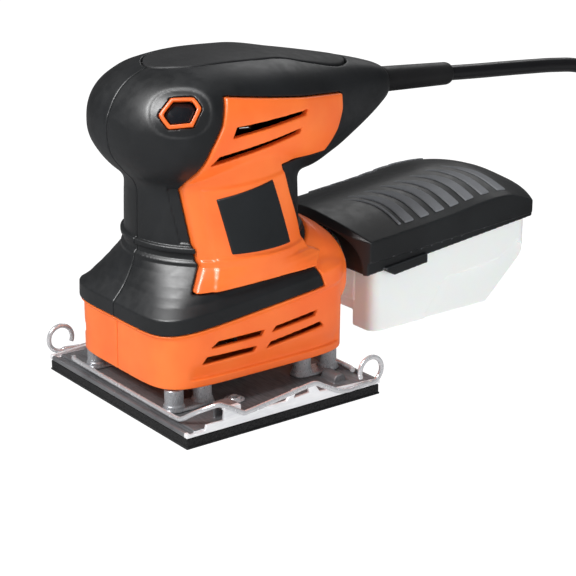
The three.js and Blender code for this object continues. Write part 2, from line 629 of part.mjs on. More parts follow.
/** The lid's outer form, shrunk by an inset. */
function lidForm(inset) {
  return skin(28, LID_STATIONS, ([x, high, halfWidth], turn, reach) => {
    const radius = squircle(turn, 4) * reach;
    const y = (halfWidth - inset) * radius * Math.sin(turn);
    const shift = x > 150 ? -inset : 0;
    return [x + shift, y, LID_BASE + (high - LID_BASE - inset) * radius * Math.cos(turn)];
  });
}

/** An arch in Y and Z over the duct, for the hood's front. */
function archOutline(halfWidth, foot, rise) {
  const outline = [];
  const steps = 14;
  for (let k = 0; k <= steps; k += 1) {
    const angle = (Math.PI * k) / steps;
    const radius = squircle(angle, 2.6);
    outline.push([halfWidth * radius * Math.cos(angle), foot + rise * radius * Math.sin(angle)]);
  }
  return outline.concat([[-halfWidth, 20], [halfWidth, 20]]);
}

/** The lid: a cap with a hood that reaches over the duct, and a latch tab on each side. */
function dustLid() {
  const room = lidForm(BOX_WALL).intersect(block([LID_FRONT_WALL[1], -60, 0], [200, 60, 120]));
  const arch = frontPrism(archOutline(35.4, 44, 26), 40, LID_FRONT_WALL[0]);
  const window = frontPrism(widened(GATE_OUTLINE, 0.8), 56, 66);
  const bow = [[49.2, 0], [49.6, 8], [51.4, 18], [55, 29], [58.5, 37.6], [58.5, 60]];
  const hoodEdge = flatPrism([
    ...bow, [20, 60], [20, -60], ...[...bow].reverse().slice(0, -1).map(([x, y]) => [x, -y]),
  ], 20, 100);
  const latch = (side) => {
    const reach = [35, 38.6].map((y) => y * side).sort((a, b) => a - b);
    const [x0, x1] = LATCH_SPAN;
    return sidePrism(
      [[x0, rimAt(x0) - 4.5], [x1, rimAt(x1) - 4.5], [x1, rimAt(x1) + 3], [x0, rimAt(x0) + 3]], ...reach);
  };
  return cut(join(cut(lidForm(0), belowRim(0)), latch(-1), latch(1)), room, arch, window, hoodEdge);
}

/** The pleated filter in its frame, laid across the tub. */
function dustFilter() {
  const pleats = [];
  const [x0, x1, count] = [70, 148, 20];
  for (let k = 0; k <= count; k += 1) pleats.push([x0 + ((x1 - x0) * k) / count, k % 2 ? 3 : -3]);
  const top = pleats.map(([x, z]) => [x, rimAt(x) + z + 5.4]);
  const bottom = pleats.map(([x, z]) => [x, rimAt(x) + z + 4.2]).reverse();
  return sidePrism(bottom.reverse().concat(top.reverse()), -27, 27);
}

/** The rubber ring between the spigot and the duct. */
const sealRing = () => spindle(0, OUTLET_Z, 51.6, 54.6, OUTLET_RADIUS + 2.2, 24)
  .subtract(spindle(0, OUTLET_Z, 50, 56, SPIGOT_RADIUS + GAP, 24));

// ---------------------------------------------------------------- cord
const RELIEF_TILT = 0.052; // downwards, in mm per mm
const RELIEF_START = [83, 0, 123.7];
const CLAMP_SCREW_Y = 5.4;
const RELIEF_LENGTH = 51;

/** The smooth sleeve that relieves the cord, with a groove that the housing holds. */
function strainRelief() {
  const bore = CORD_RADIUS + GAP;
  return turned([
    [bore, 0], [5.4, 0], [5.4, 2.4], [4.7, 2.4], [4.7, 9.7], [5.8, 9.7], [5.2, RELIEF_LENGTH - 1.2],
    [4.6, RELIEF_LENGTH], [bore, RELIEF_LENGTH], [bore, 0],
  ], 20);
}

const alongRelief = (reach) => [RELIEF_START[0] + reach, 0, RELIEF_START[2] - RELIEF_TILT * reach];
// The stretch that isn't coiled: through the relief, across, and down to the floor beside the coil.
const CORD_ROUTE = [
  alongRelief(-16), alongRelief(0), alongRelief(24), alongRelief(RELIEF_LENGTH),
  [152, 0, 119.9], [170, 0, 118.9], [188, 0, 117.8], [204, 0, 116.6], [219, -0.4, 114.6], [233.5, -1.5, 109.9],
  [247, -3.5, 101], [258.3, -6.5, 88.6], [267.8, -10.3, 73.8], [275.3, -14.8, 58], [282.6, -20.4, 42.8],
  [291, -27, 29.2], [301.6, -33, 18.8], [309.2, -42, 10.4], [312.2, -53, 5.2], [312.8, -64, 3.8],
];
// From the coil to the plug, along the floor.
const TAIL_ROUTE = [[226, -106.9, 7.5], [223.4, -106.5, 7], [221.6, -106.2, 6.7], [219.8, -106.1, 6.5]];

/** The coil as one ring of its outer shape. */
function coilRing() {
  const [x, y] = COIL_CENTRE;
  const [half, height] = COIL_SECTION;
  const [inner, outer] = [COIL_RADIUS - half, COIL_RADIUS + half];
  const profile = [
    [inner + 2.5, COIL_BOTTOM], [outer - 2.5, COIL_BOTTOM], [outer, COIL_BOTTOM + 2.5], [outer, height - 2.5],
    [outer - 2.5, height], [inner + 2.5, height], [inner, height - 2.5], [inner, COIL_BOTTOM + 2.5],
    [inner + 2.5, COIL_BOTTOM],
  ];
  return turned(profile, 24).translate(x, y, 0);
}

/** The two-pole plug, lying on the floor with its blades away from the coil. */
function plugBody() {
  const plan = [
    [219, -110.5], [219, -101.5], [213, -100.3], [205, -96.5], [190, -96.5], [188, -99], [188, -113], [190, -115.5],
    [205, -115.5], [213, -111.7],
  ].reverse();
  const side = [[187, 0.2], [219.6, 0.2], [219.6, 11], [212, 12.4], [204, 14.4], [190, 14.4], [187, 12.8]];
  return flatPrism(plan, 0, 15).intersect(sidePrism(side, -130, -80));
}

/** One blade of the plug. */
const plugBlade = (side) => block(
  [171, -106 + side * 6.35 - 0.75, 4.2], [187.7, -106 + side * 6.35 + 0.75, 10.5]);

// ---------------------------------------------------------------- the scene graph
const sander = new THREE.Group();

/** Adds one named piece. */
function add(name, shape, material, parent = sander) {
  const mesh = new THREE.Mesh(shape.isBufferGeometry ? shape : geometryOf(shape), material);
  mesh.name = name;
  parent.add(mesh);
  return mesh;
}

/** Housing, shroud and what is fixed to them. */
function addBody() {
  const housing = housingShell().subtract(housingOpenings());
  add('housing_left', housing.intersect(leftHalf()), BLACK);
  add('housing_right', housing.intersect(rightHalf()), BLACK);
  const shroud = shroudShell();
  add('shroud_left', shroud.intersect(leftHalf()), ORANGE);
  add('shroud_right', shroud.intersect(rightHalf()), ORANGE);
  add('palm_grip', palmGrip(), SOFT_BLACK);
  add('label_left', labelPlate(-1), DARK);
  add('label_right', labelPlate(1), DARK);
}

/** The screws that close the halves, driven from the right. */
function addHousingScrews() {
  const profile = [[0, 0], [1.7, 0], [1.7, 13.2], [3.6, 13.2], [3.6, 15.2], [0, 15.8]];
  SCREW_BOSSES.forEach(([x, z], k) => {
    const screw = add(`housing_screw_${k + 1}`, turned(profile, 10), STEEL);
    screw.rotation.x = -Math.PI / 2;
    screw.position.set(x, HEAD_SEAT + GAP - 13.2, z);
  });
}

/** The button, its ring and the switch itself. */
function addSwitch() {
  add('switch_bezel', switchBezel(), ORANGE);
  add('switch_button', switchButton(), BLACK);
  add('switch_body', block([-19, -8, 121.5], [6, 8, 135]), DARK);
}

/** The motor on its vertical shaft. */
function addMotor() {
  const motor = new THREE.Group();
  motor.position.x = MOTOR_X;
  sander.add(motor);
  const [low, high] = STATOR_SPAN;
  add('motor_shaft', turned([[0, 21], [SHAFT_RADIUS, 21], [SHAFT_RADIUS, 112], [3.5, 112], [3.5, 120], [0, 120]], 12), STEEL, motor);
  add('rotor_core', rotorCore(), LAMINATION, motor);
  add('rotor_winding_lower', endTurns(low - 8, low - GAP), COPPER, motor);
  add('rotor_winding_upper', endTurns(high + GAP, high + 8), COPPER, motor);
  add('commutator', ringOf(SHAFT_RADIUS + GAP, 9.2, 98.5, 110, 20), COPPER, motor);
  add('cooling_fan', fan(), BLACK, motor);
  add('eccentric', eccentric(), STEEL, motor);
  add('stator_core', statorCore(), LAMINATION, motor);
  add('field_coil_front', fieldCoil(-1), COPPER, motor);
  add('field_coil_rear', fieldCoil(1), COPPER, motor);
  add('brush_holder_left', brushHolder(-1), BRASS, motor);
  add('brush_holder_right', brushHolder(1), BRASS, motor);
  add('brush_left', carbonBrush(-1), CARBON, motor);
  add('brush_right', carbonBrush(1), CARBON, motor);
  add('upper_bearing', bearing(3.8, 9.5, 113.2, 119.2), STEEL, motor);
  add('upper_bearing_boot', turned([
    [9.8, 112.6], [12.6, 112.6], [12.6, 121.4], [5, 121.4], [5, 120.4], [9.8, 120.4], [9.8, 112.6]], 16), RUBBER, motor);
  add('lower_bearing', bearing(SHAFT_RADIUS + GAP, 11, 44.2, 50.4), STEEL, motor);
  add('bearing_bracket', bearingBracket(), ALUMINIUM, motor);
}

/** The platen with its pad, clamps, feet and bearing. */
function addPlaten() {
  add('base_plate', basePlate(), ALUMINIUM);
  add('pad_foam', new THREE.BoxGeometry(PAD_LENGTH, PAD_WIDTH, FOAM_TOP).translate(0, 0, FOAM_TOP / 2), FOAM);
  add('pad_bearing', bearing(5.2, 13, 8.3, 16), STEEL);
  add('pad_bearing_screw', turned([
    [0, 4], [4.4, 4], [4.4, 6.6], [7.6, 6.6], [7.6, 7.9], [1.9, 7.9], [1.9, 15.6], [0, 15.6]], 12), STEEL);
  const corner = { '-1-1': 'front_left', '-11': 'front_right', '1-1': 'rear_left', 11: 'rear_right' };
  FEET.forEach(([x, y]) => {
    add(`foot_${corner[`${Math.sign(x)}${Math.sign(y)}`]}`, footPosts(), STEEL).position.set(x, y, 0);
  });
  RIVETS.forEach(([x, y], k) => {
    add(`plate_rivet_${k ? 'right' : 'left'}`, turned(rivetProfile, 8), STEEL).position.set(x, y, 0);
  });
  add('clamp_wire_front', clampWire(), CHROME);
  add('clamp_wire_rear', clampWire(), CHROME).rotation.z = Math.PI;
}

/** The dust box behind the body. */
function addDustBox() {
  add('dust_container', dustContainer(), FROSTED);
  add('dust_lid', dustLid(), BLACK);
  add('dust_filter', dustFilter(), PAPER);
  add('outlet_seal', sealRing(), RUBBER);
}

/** The cord from the clamp in the tail to the plug. */
function addCord() {
  const relief = add('strain_relief', strainRelief(), RUBBER);
  relief.rotation.y = Math.PI / 2 + Math.atan(RELIEF_TILT);
  relief.position.set(...RELIEF_START);
  add('cord', swept(path(CORD_ROUTE), CORD_RADIUS, 10, 34), RUBBER);
  add('cord_coil', coilRing(), RUBBER);
  add('cord_tail', swept(path(TAIL_ROUTE), CORD_RADIUS, 10, 3), RUBBER);
  add('plug_body', plugBody(), RUBBER);
  add('plug_blade_left', plugBlade(-1), BRASS);
  add('plug_blade_right', plugBlade(1), BRASS);
}

/** The bar and screws that grip the cord inside the tail. */
function addCordClamp() {
  const [x, z] = [72, 124.3];
  const holes = [-1, 1].map((side) => post(x - 1, side * CLAMP_SCREW_Y, z - 20, z + 20, 1.9, 12));
  const bar = block([x - 4, -8, z + 3.9], [x + 2, 8, z + 5.7]);
  add('cord_clamp', cut(bar, ...holes), DARK);
  [-1, 1].forEach((side) => {
    const profile = [[0, 0], [1.4, 0], [1.4, 9.4], [2.5, 9.4], [2.5, 10.8], [0, 10.8]];
    const screw = add(`cord_clamp_screw_${side < 0 ? 'left' : 'right'}`, turned(profile, 12), STEEL);
    screw.position.set(x - 1, side * CLAMP_SCREW_Y, z - 3.3);
  });
}

addBody();
addHousingScrews();
addSwitch();
addMotor();
addPlaten();
addDustBox();
addCord();
addCordClamp();

export default sander;
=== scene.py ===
"""A quarter-sheet palm sander with its dust box and cord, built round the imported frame."""
import math

import bpy
import numpy as np
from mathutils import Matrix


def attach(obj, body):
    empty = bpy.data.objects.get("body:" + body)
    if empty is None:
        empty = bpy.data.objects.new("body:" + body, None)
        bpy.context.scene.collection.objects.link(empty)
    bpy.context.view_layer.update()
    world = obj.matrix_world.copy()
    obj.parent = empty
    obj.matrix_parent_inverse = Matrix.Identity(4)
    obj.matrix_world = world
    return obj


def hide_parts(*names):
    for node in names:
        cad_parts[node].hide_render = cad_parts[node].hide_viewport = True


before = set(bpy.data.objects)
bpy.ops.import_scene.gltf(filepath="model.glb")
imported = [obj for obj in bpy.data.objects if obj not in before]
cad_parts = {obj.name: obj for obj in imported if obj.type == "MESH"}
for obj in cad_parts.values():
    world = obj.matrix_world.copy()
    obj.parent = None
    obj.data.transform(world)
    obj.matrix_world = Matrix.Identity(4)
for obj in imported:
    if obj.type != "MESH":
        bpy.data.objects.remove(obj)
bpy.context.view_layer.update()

import openvdb
from mathutils import Matrix, Vector

MM = 0.001
SHELL_STEP = 0.5   # voxel of the moulded shells, in mm
FINE_STEP = 0.28   # voxel of the small parts, in mm

# ---------------- camera, floor and light
CAMERA_AT = (-0.3835, -0.5691, 0.2755)
CAMERA_TARGET = (0.04166, 0.0, 0.03485)
FOCAL_LENGTH = 104.75
STUDIO_MIDDLE = (0.03, 0.0, 0.07)    # what the lamps are turned to
SKY_STRENGTH, SKY_REFLECTED = 0.36, 0.08
FLOOR_GLOW, FLOOR_REFLECTED = 0.95, 0.1
BACKDROP_STRENGTH = 1.05
FLOOR_HALF = 3.0


def look_at(obj, target):
    """Turns a camera or a lamp towards a point."""
    way = Vector(target) - obj.location
    obj.rotation_euler = way.to_track_quat("-Z", "Y").to_euler()


def new_object(name, data):
    made = bpy.data.objects.new(name, data)
    bpy.context.scene.collection.objects.link(made)
    return made


def add_camera():
    data = bpy.data.cameras.new("camera")
    data.lens = FOCAL_LENGTH
    camera = new_object("camera", data)
    camera.location = CAMERA_AT
    look_at(camera, CAMERA_TARGET)
    bpy.context.scene.camera = camera


def add_lamp(name, place, target, size, watts, mirrored=True, diffuse=True):
    """An area lamp. It can be left out of reflections, or show in reflections only."""
    data = bpy.data.lights.new(name, "AREA")
    data.shape = "RECTANGLE"
    data.size, data.size_y = size
    data.energy = watts
    lamp = new_object(name, data)
    lamp.location = place
    lamp.visible_glossy, lamp.visible_diffuse = mirrored, diffuse
    look_at(lamp, target)


def dimmed_in_reflections(tree, socket, usual, reflected):
    """Gives a strength its usual value, and a lower one for rays off a shiny surface."""
    rays = tree.nodes.new("ShaderNodeLightPath")
    strength = tree.nodes.new("ShaderNodeMapRange")
    tree.links.new(rays.outputs["Is Glossy Ray"], strength.inputs["Value"])
    strength.inputs["To Min"].default_value = usual
    strength.inputs["To Max"].default_value = reflected
    tree.links.new(strength.outputs["Result"], socket)


def add_sky():
    """An even sky, with a plain white backdrop behind it for the camera."""
    world = bpy.data.worlds.new("studio")
    world.use_nodes = True
    tree = world.node_tree
    sky = tree.nodes["Background"]
    sky.inputs["Color"].default_value = (0.97, 0.98, 1.0, 1)
    dimmed_in_reflections(tree, sky.inputs["Strength"], SKY_STRENGTH, SKY_REFLECTED)
    backdrop = tree.nodes.new("ShaderNodeBackground")
    backdrop.inputs["Color"].default_value = (1, 1, 1, 1)
    backdrop.inputs["Strength"].default_value = BACKDROP_STRENGTH
    seen = tree.nodes.new("ShaderNodeMixShader")
    rays = tree.nodes.new("ShaderNodeLightPath")
    tree.links.new(rays.outputs["Is Camera Ray"], seen.inputs[0])
    tree.links.new(sky.outputs[0], seen.inputs[1])
    tree.links.new(backdrop.outputs[0], seen.inputs[2])
    tree.links.new(seen.outputs[0], tree.nodes["World Output"].inputs["Surface"])
    bpy.context.scene.world = world


def add_floor():
    """A floor that glows, so that it is nearly as white as the backdrop."""
    half = FLOOR_HALF
    mesh = bpy.data.meshes.new("floor")
    corners = [(-half, -half, 0), (half, -half, 0), (half, half, 0), (-half, half, 0)]
    mesh.from_pydata(corners, [], [(0, 1, 2, 3)])
    floor = new_object("floor", mesh)
    pale = bpy.data.materials.new("floor_white")
    pale.use_nodes = True
    shader = pale.node_tree.nodes["Principled BSDF"]
    shader.inputs["Base Color"].default_value = (0.2, 0.2, 0.2, 1)
    shader.inputs["Roughness"].default_value = 0.9
    shader.inputs["Specular IOR Level"].default_value = 0.1
    shader.inputs["Emission Color"].default_value = (1, 1, 1, 1)
    dimmed_in_reflections(pale.node_tree, shader.inputs["Emission Strength"], FLOOR_GLOW, FLOOR_REFLECTED)
    mesh.materials.append(pale)


def add_studio():
    """A white room with four lamps."""
    bpy.context.scene.view_settings.view_transform = "Standard"
    add_sky()
    add_lamp("key", (-0.8, -0.05, 0.8), STUDIO_MIDDLE, (0.3, 0.3), 8.0)
    add_lamp("front_fill", (-0.1, -1.2, 0.35), STUDIO_MIDDLE, (0.9, 0.5), 6.0, mirrored=False)
    add_lamp("glint", (-0.6, 0.02, 0.86), (-0.04, -0.02, 0.12), (0.45, 0.45), 17.0, diffuse=False)
    add_lamp("rim", (0.9, 0.6, 0.9), STUDIO_MIDDLE, (0.6, 0.6), 2.6)
    add_floor()


add_camera()
add_studio()


# ---------------- materials
EDGE_FROM, EDGE_TO = 0.52, 0.62    # how convex an edge must be to take the edge colour, which on the lid is a painted highlight


def rgb(red, green, blue):
    """A display colour from 0 to 255 as a linear one."""
    def linear(value):
        value /= 255
        return value / 12.92 if value < 0.04045 else ((value + 0.055) / 1.055) ** 2.4
    return (linear(red), linear(green), linear(blue), 1.0)


class Finish:
    """A Principled material put together from small procedural layers, in object space."""

    def __init__(self, name, colour, roughness, metallic=0.0, **sockets):
        self.material = bpy.data.materials.new(name)
        self.material.use_nodes = True
        self.tree = self.material.node_tree
        self.shader = self.tree.nodes["Principled BSDF"]
        self.colour, self.bump = None, None
        self.base = colour
        self.set("Base Color", colour)
        self.set("Roughness", roughness)
        self.set("Metallic", metallic)
        for socket, value in sockets.items():
            self.set(socket.replace("_", " "), value)
        self.place = self.node("ShaderNodeTexCoord").outputs["Object"]

    def set(self, socket, value):
        self.shader.inputs[socket].default_value = value

    def node(self, kind, **inputs):
        made = self.tree.nodes.new(kind)
        for key, value in inputs.items():
            socket = made.inputs[key.replace("_", " ")]
            if isinstance(value, bpy.types.NodeSocket):
                self.tree.links.new(value, socket)
            else:
                socket.default_value = value
        return made

    def stretched(self, scale):
        return self.node("ShaderNodeMapping", Vector=self.place, Scale=scale).outputs["Vector"]

    def noise(self, per_mm, detail=3.0, rough=0.55, stretch=None):
        place = self.place if stretch is None else self.stretched(stretch)
        return self.node("ShaderNodeTexNoise", Vector=place, Scale=per_mm * 1000, Detail=detail,
                         Roughness=rough).outputs["Fac"]

    def cells(self, per_mm):
        return self.node("ShaderNodeTexVoronoi", Vector=self.place, Scale=per_mm * 1000).outputs["Distance"]

    def spread(self, value, low, high, from_low=0.35, from_high=0.65):
        made = self.node("ShaderNodeMapRange", Value=value)
        ends = {"From Min": from_low, "From Max": from_high, "To Min": low, "To Max": high}
        for key, number in ends.items():
            made.inputs[key].default_value = number
        return made.outputs["Result"]

    def tint(self, amount, colour):
        """Blends another colour over the base where amount is high."""
        made = self.tree.nodes.new("ShaderNodeMix")
        made.data_type = "RGBA"
        self.tree.links.new(amount, made.inputs[0])
        if self.colour is None:
            made.inputs[6].default_value = self.base
        else:
            self.tree.links.new(self.colour, made.inputs[6])
        made.inputs[7].default_value = colour
        self.colour = made.outputs[2]
        self.tree.links.new(self.colour, self.shader.inputs["Base Color"])
        return self

    def uneven(self, value, low, high):
        """Roughness that wanders between two values."""
        self.tree.links.new(self.spread(value, low, high), self.shader.inputs["Roughness"])
        return self

    def relief(self, height, depth_mm):
        """Fine surface relief."""
        made = self.node("ShaderNodeBump", Height=height, Strength=1.0, Distance=depth_mm * MM)
        if self.bump is not None:
            self.tree.links.new(self.bump, made.inputs["Normal"])
        self.bump = made.outputs["Normal"]
        self.tree.links.new(self.bump, self.shader.inputs["Normal"])
        return self

    def convex_edge_tint(self, colour):
        """Convex edges: the colour comes through where the surface is sharply convex; on the lid it is a
        painted highlight along the ridges and chamfer.
        """
        edges = self.node("ShaderNodeNewGeometry").outputs["Pointiness"]
        return self.tint(self.spread(edges, 0.0, 0.5, EDGE_FROM, EDGE_TO), colour)


def moulded(name, colour, lighter, darker, roughness, grain_mm=0.55, depth=0.03, edge=None, **sockets):
    """Textured injection-moulded plastic."""
    made = Finish(name, colour, roughness, **sockets)
    made.tint(made.spread(made.noise(0.035), 0.0, 0.55), lighter)
    made.tint(made.spread(made.noise(0.012, 2.0), 0.0, 0.4, 0.45, 0.7), darker)
    # convex edges take the edge colour, or else the lighter tone; the lid's edge colour is a painted
    # highlight
    made.convex_edge_tint(edge or lighter)
    made.uneven(made.noise(0.22), roughness - 0.03, roughness + 0.04)
    made.relief(made.noise(1 / grain_mm, 2.0, 0.6), depth)
    return made.material


def brushed(name, colour, lighter, darker, roughness, stretch, depth=0.01, metallic=1.0):
    """Rolled or brushed metal with fine lines along one axis."""
    made = Finish(name, colour, roughness, metallic)
    lines = made.noise(1.6, 4.0, 0.6, stretch)
    made.tint(made.spread(lines, 0.0, 0.8), darker)
    made.tint(made.spread(made.noise(0.05, 3.0), 0.0, 0.5), lighter)
    made.uneven(lines, roughness - 0.08, roughness + 0.12)
    made.relief(lines, depth)
    return made.material


BLACK = moulded("housing_black_grain", rgb(20, 22, 24), rgb(34, 36, 39), rgb(13, 14, 15), 0.44,
                grain_mm=0.7, depth=0.018, Specular_IOR_Level=0.5)
GRIP = moulded("grip_soft_grain", rgb(22, 23, 25), rgb(34, 35, 38), rgb(15, 16, 17), 0.6,
               grain_mm=0.9, depth=0.06, Specular_IOR_Level=0.4)
ORANGE = moulded("shroud_orange_satin", rgb(245, 106, 37), rgb(255, 132, 54), rgb(233, 84, 33), 0.38,
                 grain_mm=0.5, depth=0.014, Specular_IOR_Level=0.5, Coat_Weight=0.06)
LABEL = moulded("label_slate", rgb(22, 26, 29), rgb(30, 34, 38), rgb(16, 19, 22), 0.5, grain_mm=0.4,
                depth=0.008)
# the grey edge colour is a painted highlight along the lid's ridges and chamfer
LID_BLACK = moulded("lid_black_satin", rgb(19, 21, 23), rgb(34, 37, 40), rgb(12, 13, 14), 0.42,
                    grain_mm=0.5, depth=0.02, edge=rgb(104, 108, 112), Specular_IOR_Level=0.6)
LID_RIB = moulded("lid_rib_stipple", rgb(112, 114, 118), rgb(136, 139, 143), rgb(88, 90, 94), 0.66,
                  grain_mm=0.7, depth=0.14)
SWITCH_BLACK = moulded("switch_black_gloss", rgb(20, 22, 27), rgb(36, 40, 48), rgb(14, 16, 19), 0.24,
                       depth=0.006)
RUBBER = moulded("rubber_black", rgb(18, 18, 19), rgb(30, 30, 32), rgb(12, 12, 13), 0.5, grain_mm=0.8,
                 depth=0.02)
CORD_RUBBER = moulded("cord_black", rgb(16, 16, 18), rgb(26, 26, 29), rgb(11, 11, 12), 0.34, grain_mm=1.2,
                      depth=0.01)
PLATE = brushed("plate_rolled", rgb(108, 109, 111), rgb(134, 135, 138), rgb(78, 78, 81), 0.42,
                (0.6, 0.08, 0.6), depth=0.02, metallic=0.3)
FLANGE = brushed("flange_bright", rgb(232, 233, 235), rgb(248, 248, 250), rgb(212, 213, 217), 0.36,
                 (0.1, 1.0, 0.6), metallic=0.15)
WIRE = brushed("wire_zinc", rgb(230, 231, 234), rgb(246, 246, 248), rgb(206, 207, 211), 0.2,
               (0.2, 0.2, 0.2), depth=0.002, metallic=0.55)
STEEL = brushed("steel_ground", rgb(176, 178, 182), rgb(204, 206, 210), rgb(132, 134, 138), 0.28,
                (1.0, 1.0, 0.15))
LAMINATION = brushed("lamination_stack", rgb(120, 123, 127), rgb(146, 149, 153), rgb(80, 82, 86), 0.42,
                     (0.05, 0.05, 2.6), depth=0.05)
BRASS = brushed("brass_drawn", rgb(206, 172, 96), rgb(226, 196, 124), rgb(160, 128, 62), 0.3, (1.0, 0.2, 1.0))
CAST = brushed("bracket_cast", rgb(150, 152, 155), rgb(178, 180, 184), rgb(118, 120, 124), 0.5,
               (1.0, 1.0, 1.0), depth=0.05)


def copper_wire():
    made = Finish("copper_windings", rgb(176, 96, 50), 0.32, metallic=1.0)
    turns = made.node("ShaderNodeTexWave", Vector=made.place, Scale=420.0, Distortion=2.2,
                      Detail=2.0).outputs["Fac"]
    made.tint(made.spread(turns, 0.0, 0.8, 0.0, 1.0), rgb(110, 52, 26))
    return made.relief(turns, 0.25).material


def foam_black():
    made = Finish("foam_cells", rgb(22, 22, 23), 0.92, Specular_IOR_Level=0.2)
    pores = made.cells(1.1)
    made.tint(made.spread(pores, 0.0, 0.8, 0.1, 0.6), rgb(40, 40, 41))
    return made.relief(pores, 0.35).material


def filter_paper():
    made = Finish("filter_fleece", rgb(232, 228, 216), 0.9)
    fibres = made.noise(2.2, 5.0, 0.7, (1.0, 0.15, 1.0))
    made.tint(made.spread(fibres, 0.0, 0.7), rgb(206, 200, 184))
    return made.relief(fibres, 0.08).material


def frosted():
    """Milky translucent polypropylene."""
    made = Finish("tub_frosted_milk", rgb(252, 252, 249), 0.34, Transmission_Weight=0.14, IOR=1.45,
                  Specular_IOR_Level=0.45, Subsurface_Weight=0.25, Subsurface_Scale=0.004)
    made.tint(made.spread(made.noise(0.03), 0.0, 0.6), rgb(255, 255, 254))
    made.tint(made.spread(made.noise(0.011, 2.0), 0.0, 0.5, 0.45, 0.7), rgb(244, 245, 243))
    made.uneven(made.noise(0.3), 0.28, 0.42)
    return made.relief(made.noise(1.2, 2.0), 0.012).material


def carbon_block():
    made = Finish("carbon_block", rgb(40, 40, 42), 0.55)
    grain = made.noise(3.0, 4.0)
    made.tint(made.spread(grain, 0.0, 0.7), rgb(66, 66, 70))
    return made.relief(grain, 0.02).material


def foam_facing():
    """The smooth face that the abrasive lies against."""
    made = Finish("foam_facing", rgb(30, 30, 31), 0.7, Specular_IOR_Level=0.3)
    made.tint(made.spread(made.noise(0.08), 0.0, 0.6), rgb(42, 42, 44))
    return made.relief(made.noise(0.9, 3.0), 0.05).material


COPPER, FOAM, PAPER, FROSTED, CARBON = copper_wire(), foam_black(), filter_paper(), frosted(), carbon_block()
FACING = foam_facing()
FAN = moulded("fan_nylon", rgb(34, 35, 37), rgb(52, 54, 57), rgb(24, 25, 26), 0.4, grain_mm=0.9, depth=0.01)
COMMUTATOR = brushed("commutator_bars", rgb(196, 122, 76), rgb(220, 152, 104), rgb(120, 66, 36), 0.3,
                     (1.0, 1.0, 0.1))
SATIN = brushed("post_satin", rgb(176, 178, 182), rgb(208, 210, 213), rgb(120, 122, 126), 0.3,
                (1.0, 1.0, 0.25), depth=0.004, metallic=0.5)


# ---------------- objects
def link(name, data, body, materials, replaces=()):
    """Adds a piece, rides it on its body and hides the CAD parts it stands for."""
    for material in materials:
        data.materials.append(material)
    piece = new_object(name, data)
    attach(piece, body)
    if replaces:
        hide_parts(*replaces)
    return piece


def curved(a, b, c, d, t):
    """A point between b and c on a Catmull-Rom line."""
    square = (2 * a - 5 * b + 4 * c - d) * t * t
    return 0.5 * ((2 * b) + (c - a) * t + square + (3 * b - a - 3 * c + d) * t ** 3)


def smooth_through(points, steps=6):
    """A Catmull-Rom line through points, in mm."""
    points = [Vector(p) for p in points]
    ends = [points[0] * 2 - points[1]] + points + [points[-1] * 2 - points[-2]]
    line = []
    for a, b, c, d in zip(ends, ends[1:], ends[2:], ends[3:]):
        for k in range(steps):
            t = k / steps
            line.append(curved(a, b, c, d, t))
    return line + [points[-1]]


def round_line(name, points, radius, body, material, replaces=(), handles=False):
    """A round wire or cord along a line in mm."""
    data = bpy.data.curves.new(name, "CURVE")
    data.dimensions = "3D"
    data.bevel_depth = radius * MM
    data.bevel_resolution = 5
    data.use_fill_caps = True
    if handles:
        data.resolution_u = 8
        spline = data.splines.new("BEZIER")
        spline.bezier_points.add(len(points) - 1)
        for knot, place in zip(spline.bezier_points, points):
            knot.co = Vector(place) * MM
            knot.handle_left_type = knot.handle_right_type = "AUTO"
    else:
        spline = data.splines.new("POLY")
        spline.points.add(len(points) - 1)
        for knot, place in zip(spline.points, points):
            knot.co = (*(Vector(place) * MM), 1)
        spline.use_smooth = True
    return link(name, data, body, [material], replaces)


# ---------------- the cord
CORD_RADIUS = 3.5
RELIEF_START = Vector((83, 0, 123.7))
RELIEF_WAY = Vector((1, 0, -0.052))
RELIEF_LENGTH = 51
COIL_CENTRE = (258, -62)
LANES = [54.8, 47.9, 41.1, 34.5, 28.0, 28.0, 34.5, 41.1, 47.9]  # the radius of each turn, in mm
LOW_LANE, HIGH_LANE = 3.7, 10.8   # heights of the two layers
COIL_FROM = -5                   # degrees
LAST_SWEEP = 87                  # degrees of the last, part turn


def eased(share):
    share = min(max(share, 0.0), 1.0)
    return share * share * (3 - 2 * share)


def coil_points():
    """The turns, clockwise seen from above: four on the floor going in, then four on them going out."""
    points = []
    step = 18
    full = 360 * (len(LANES) - 2)
    for sweep in range(0, full + LAST_SWEEP + 1, step):
        turn = sweep // 360
        into = sweep % 360
        radius = LANES[turn] + (LANES[turn + 1] - LANES[turn]) * eased(into / 140)
        climb = eased((into - 280) / 70) if turn == 3 else float(turn > 3)
        angle = math.radians(COIL_FROM - sweep)
        points.append((COIL_CENTRE[0] + radius * math.cos(angle), COIL_CENTRE[1] + radius * math.sin(angle),
                       LOW_LANE + (HIGH_LANE - LOW_LANE) * climb))
    return points


def add_cord():
    exit_point = RELIEF_START + RELIEF_WAY * RELIEF_LENGTH
    route = [RELIEF_START + RELIEF_WAY * 38, exit_point, (152, 0, 119.9), (170, 0, 118.9), (188, 0, 117.8),
             (204, 0, 116.6), (219, -0.4, 114.6), (233.5, -1.5, 109.9), (247, -3.5, 101),
             (258.3, -6.5, 88.6), (267.8, -10.3, 73.8), (275.3, -14.8, 58), (282.6, -20.4, 42.8),
             (291, -27, 29.2), (301.6, -33, 18.8), (309.2, -42, 10.4), (312.2, -53, 5.2)]
    tail = [(246, -109.6, 10.4), (236, -108.4, 9.2), (227, -107, 7.6), (222, -106.3, 6.8), (218.4, -106, 6.5)]
    cord = round_line("cord_line", route + coil_points() + tail, CORD_RADIUS, "root",
                      CORD_RUBBER, ("cord", "cord_coil", "cord_tail"), handles=True)
    inner = [RELIEF_START + RELIEF_WAY * reach for reach in (-15, -4, 12, 38)]
    round_line("cord_lead_in", smooth_through(inner), CORD_RADIUS - 0.02, "root", CORD_RUBBER)


add_cord()


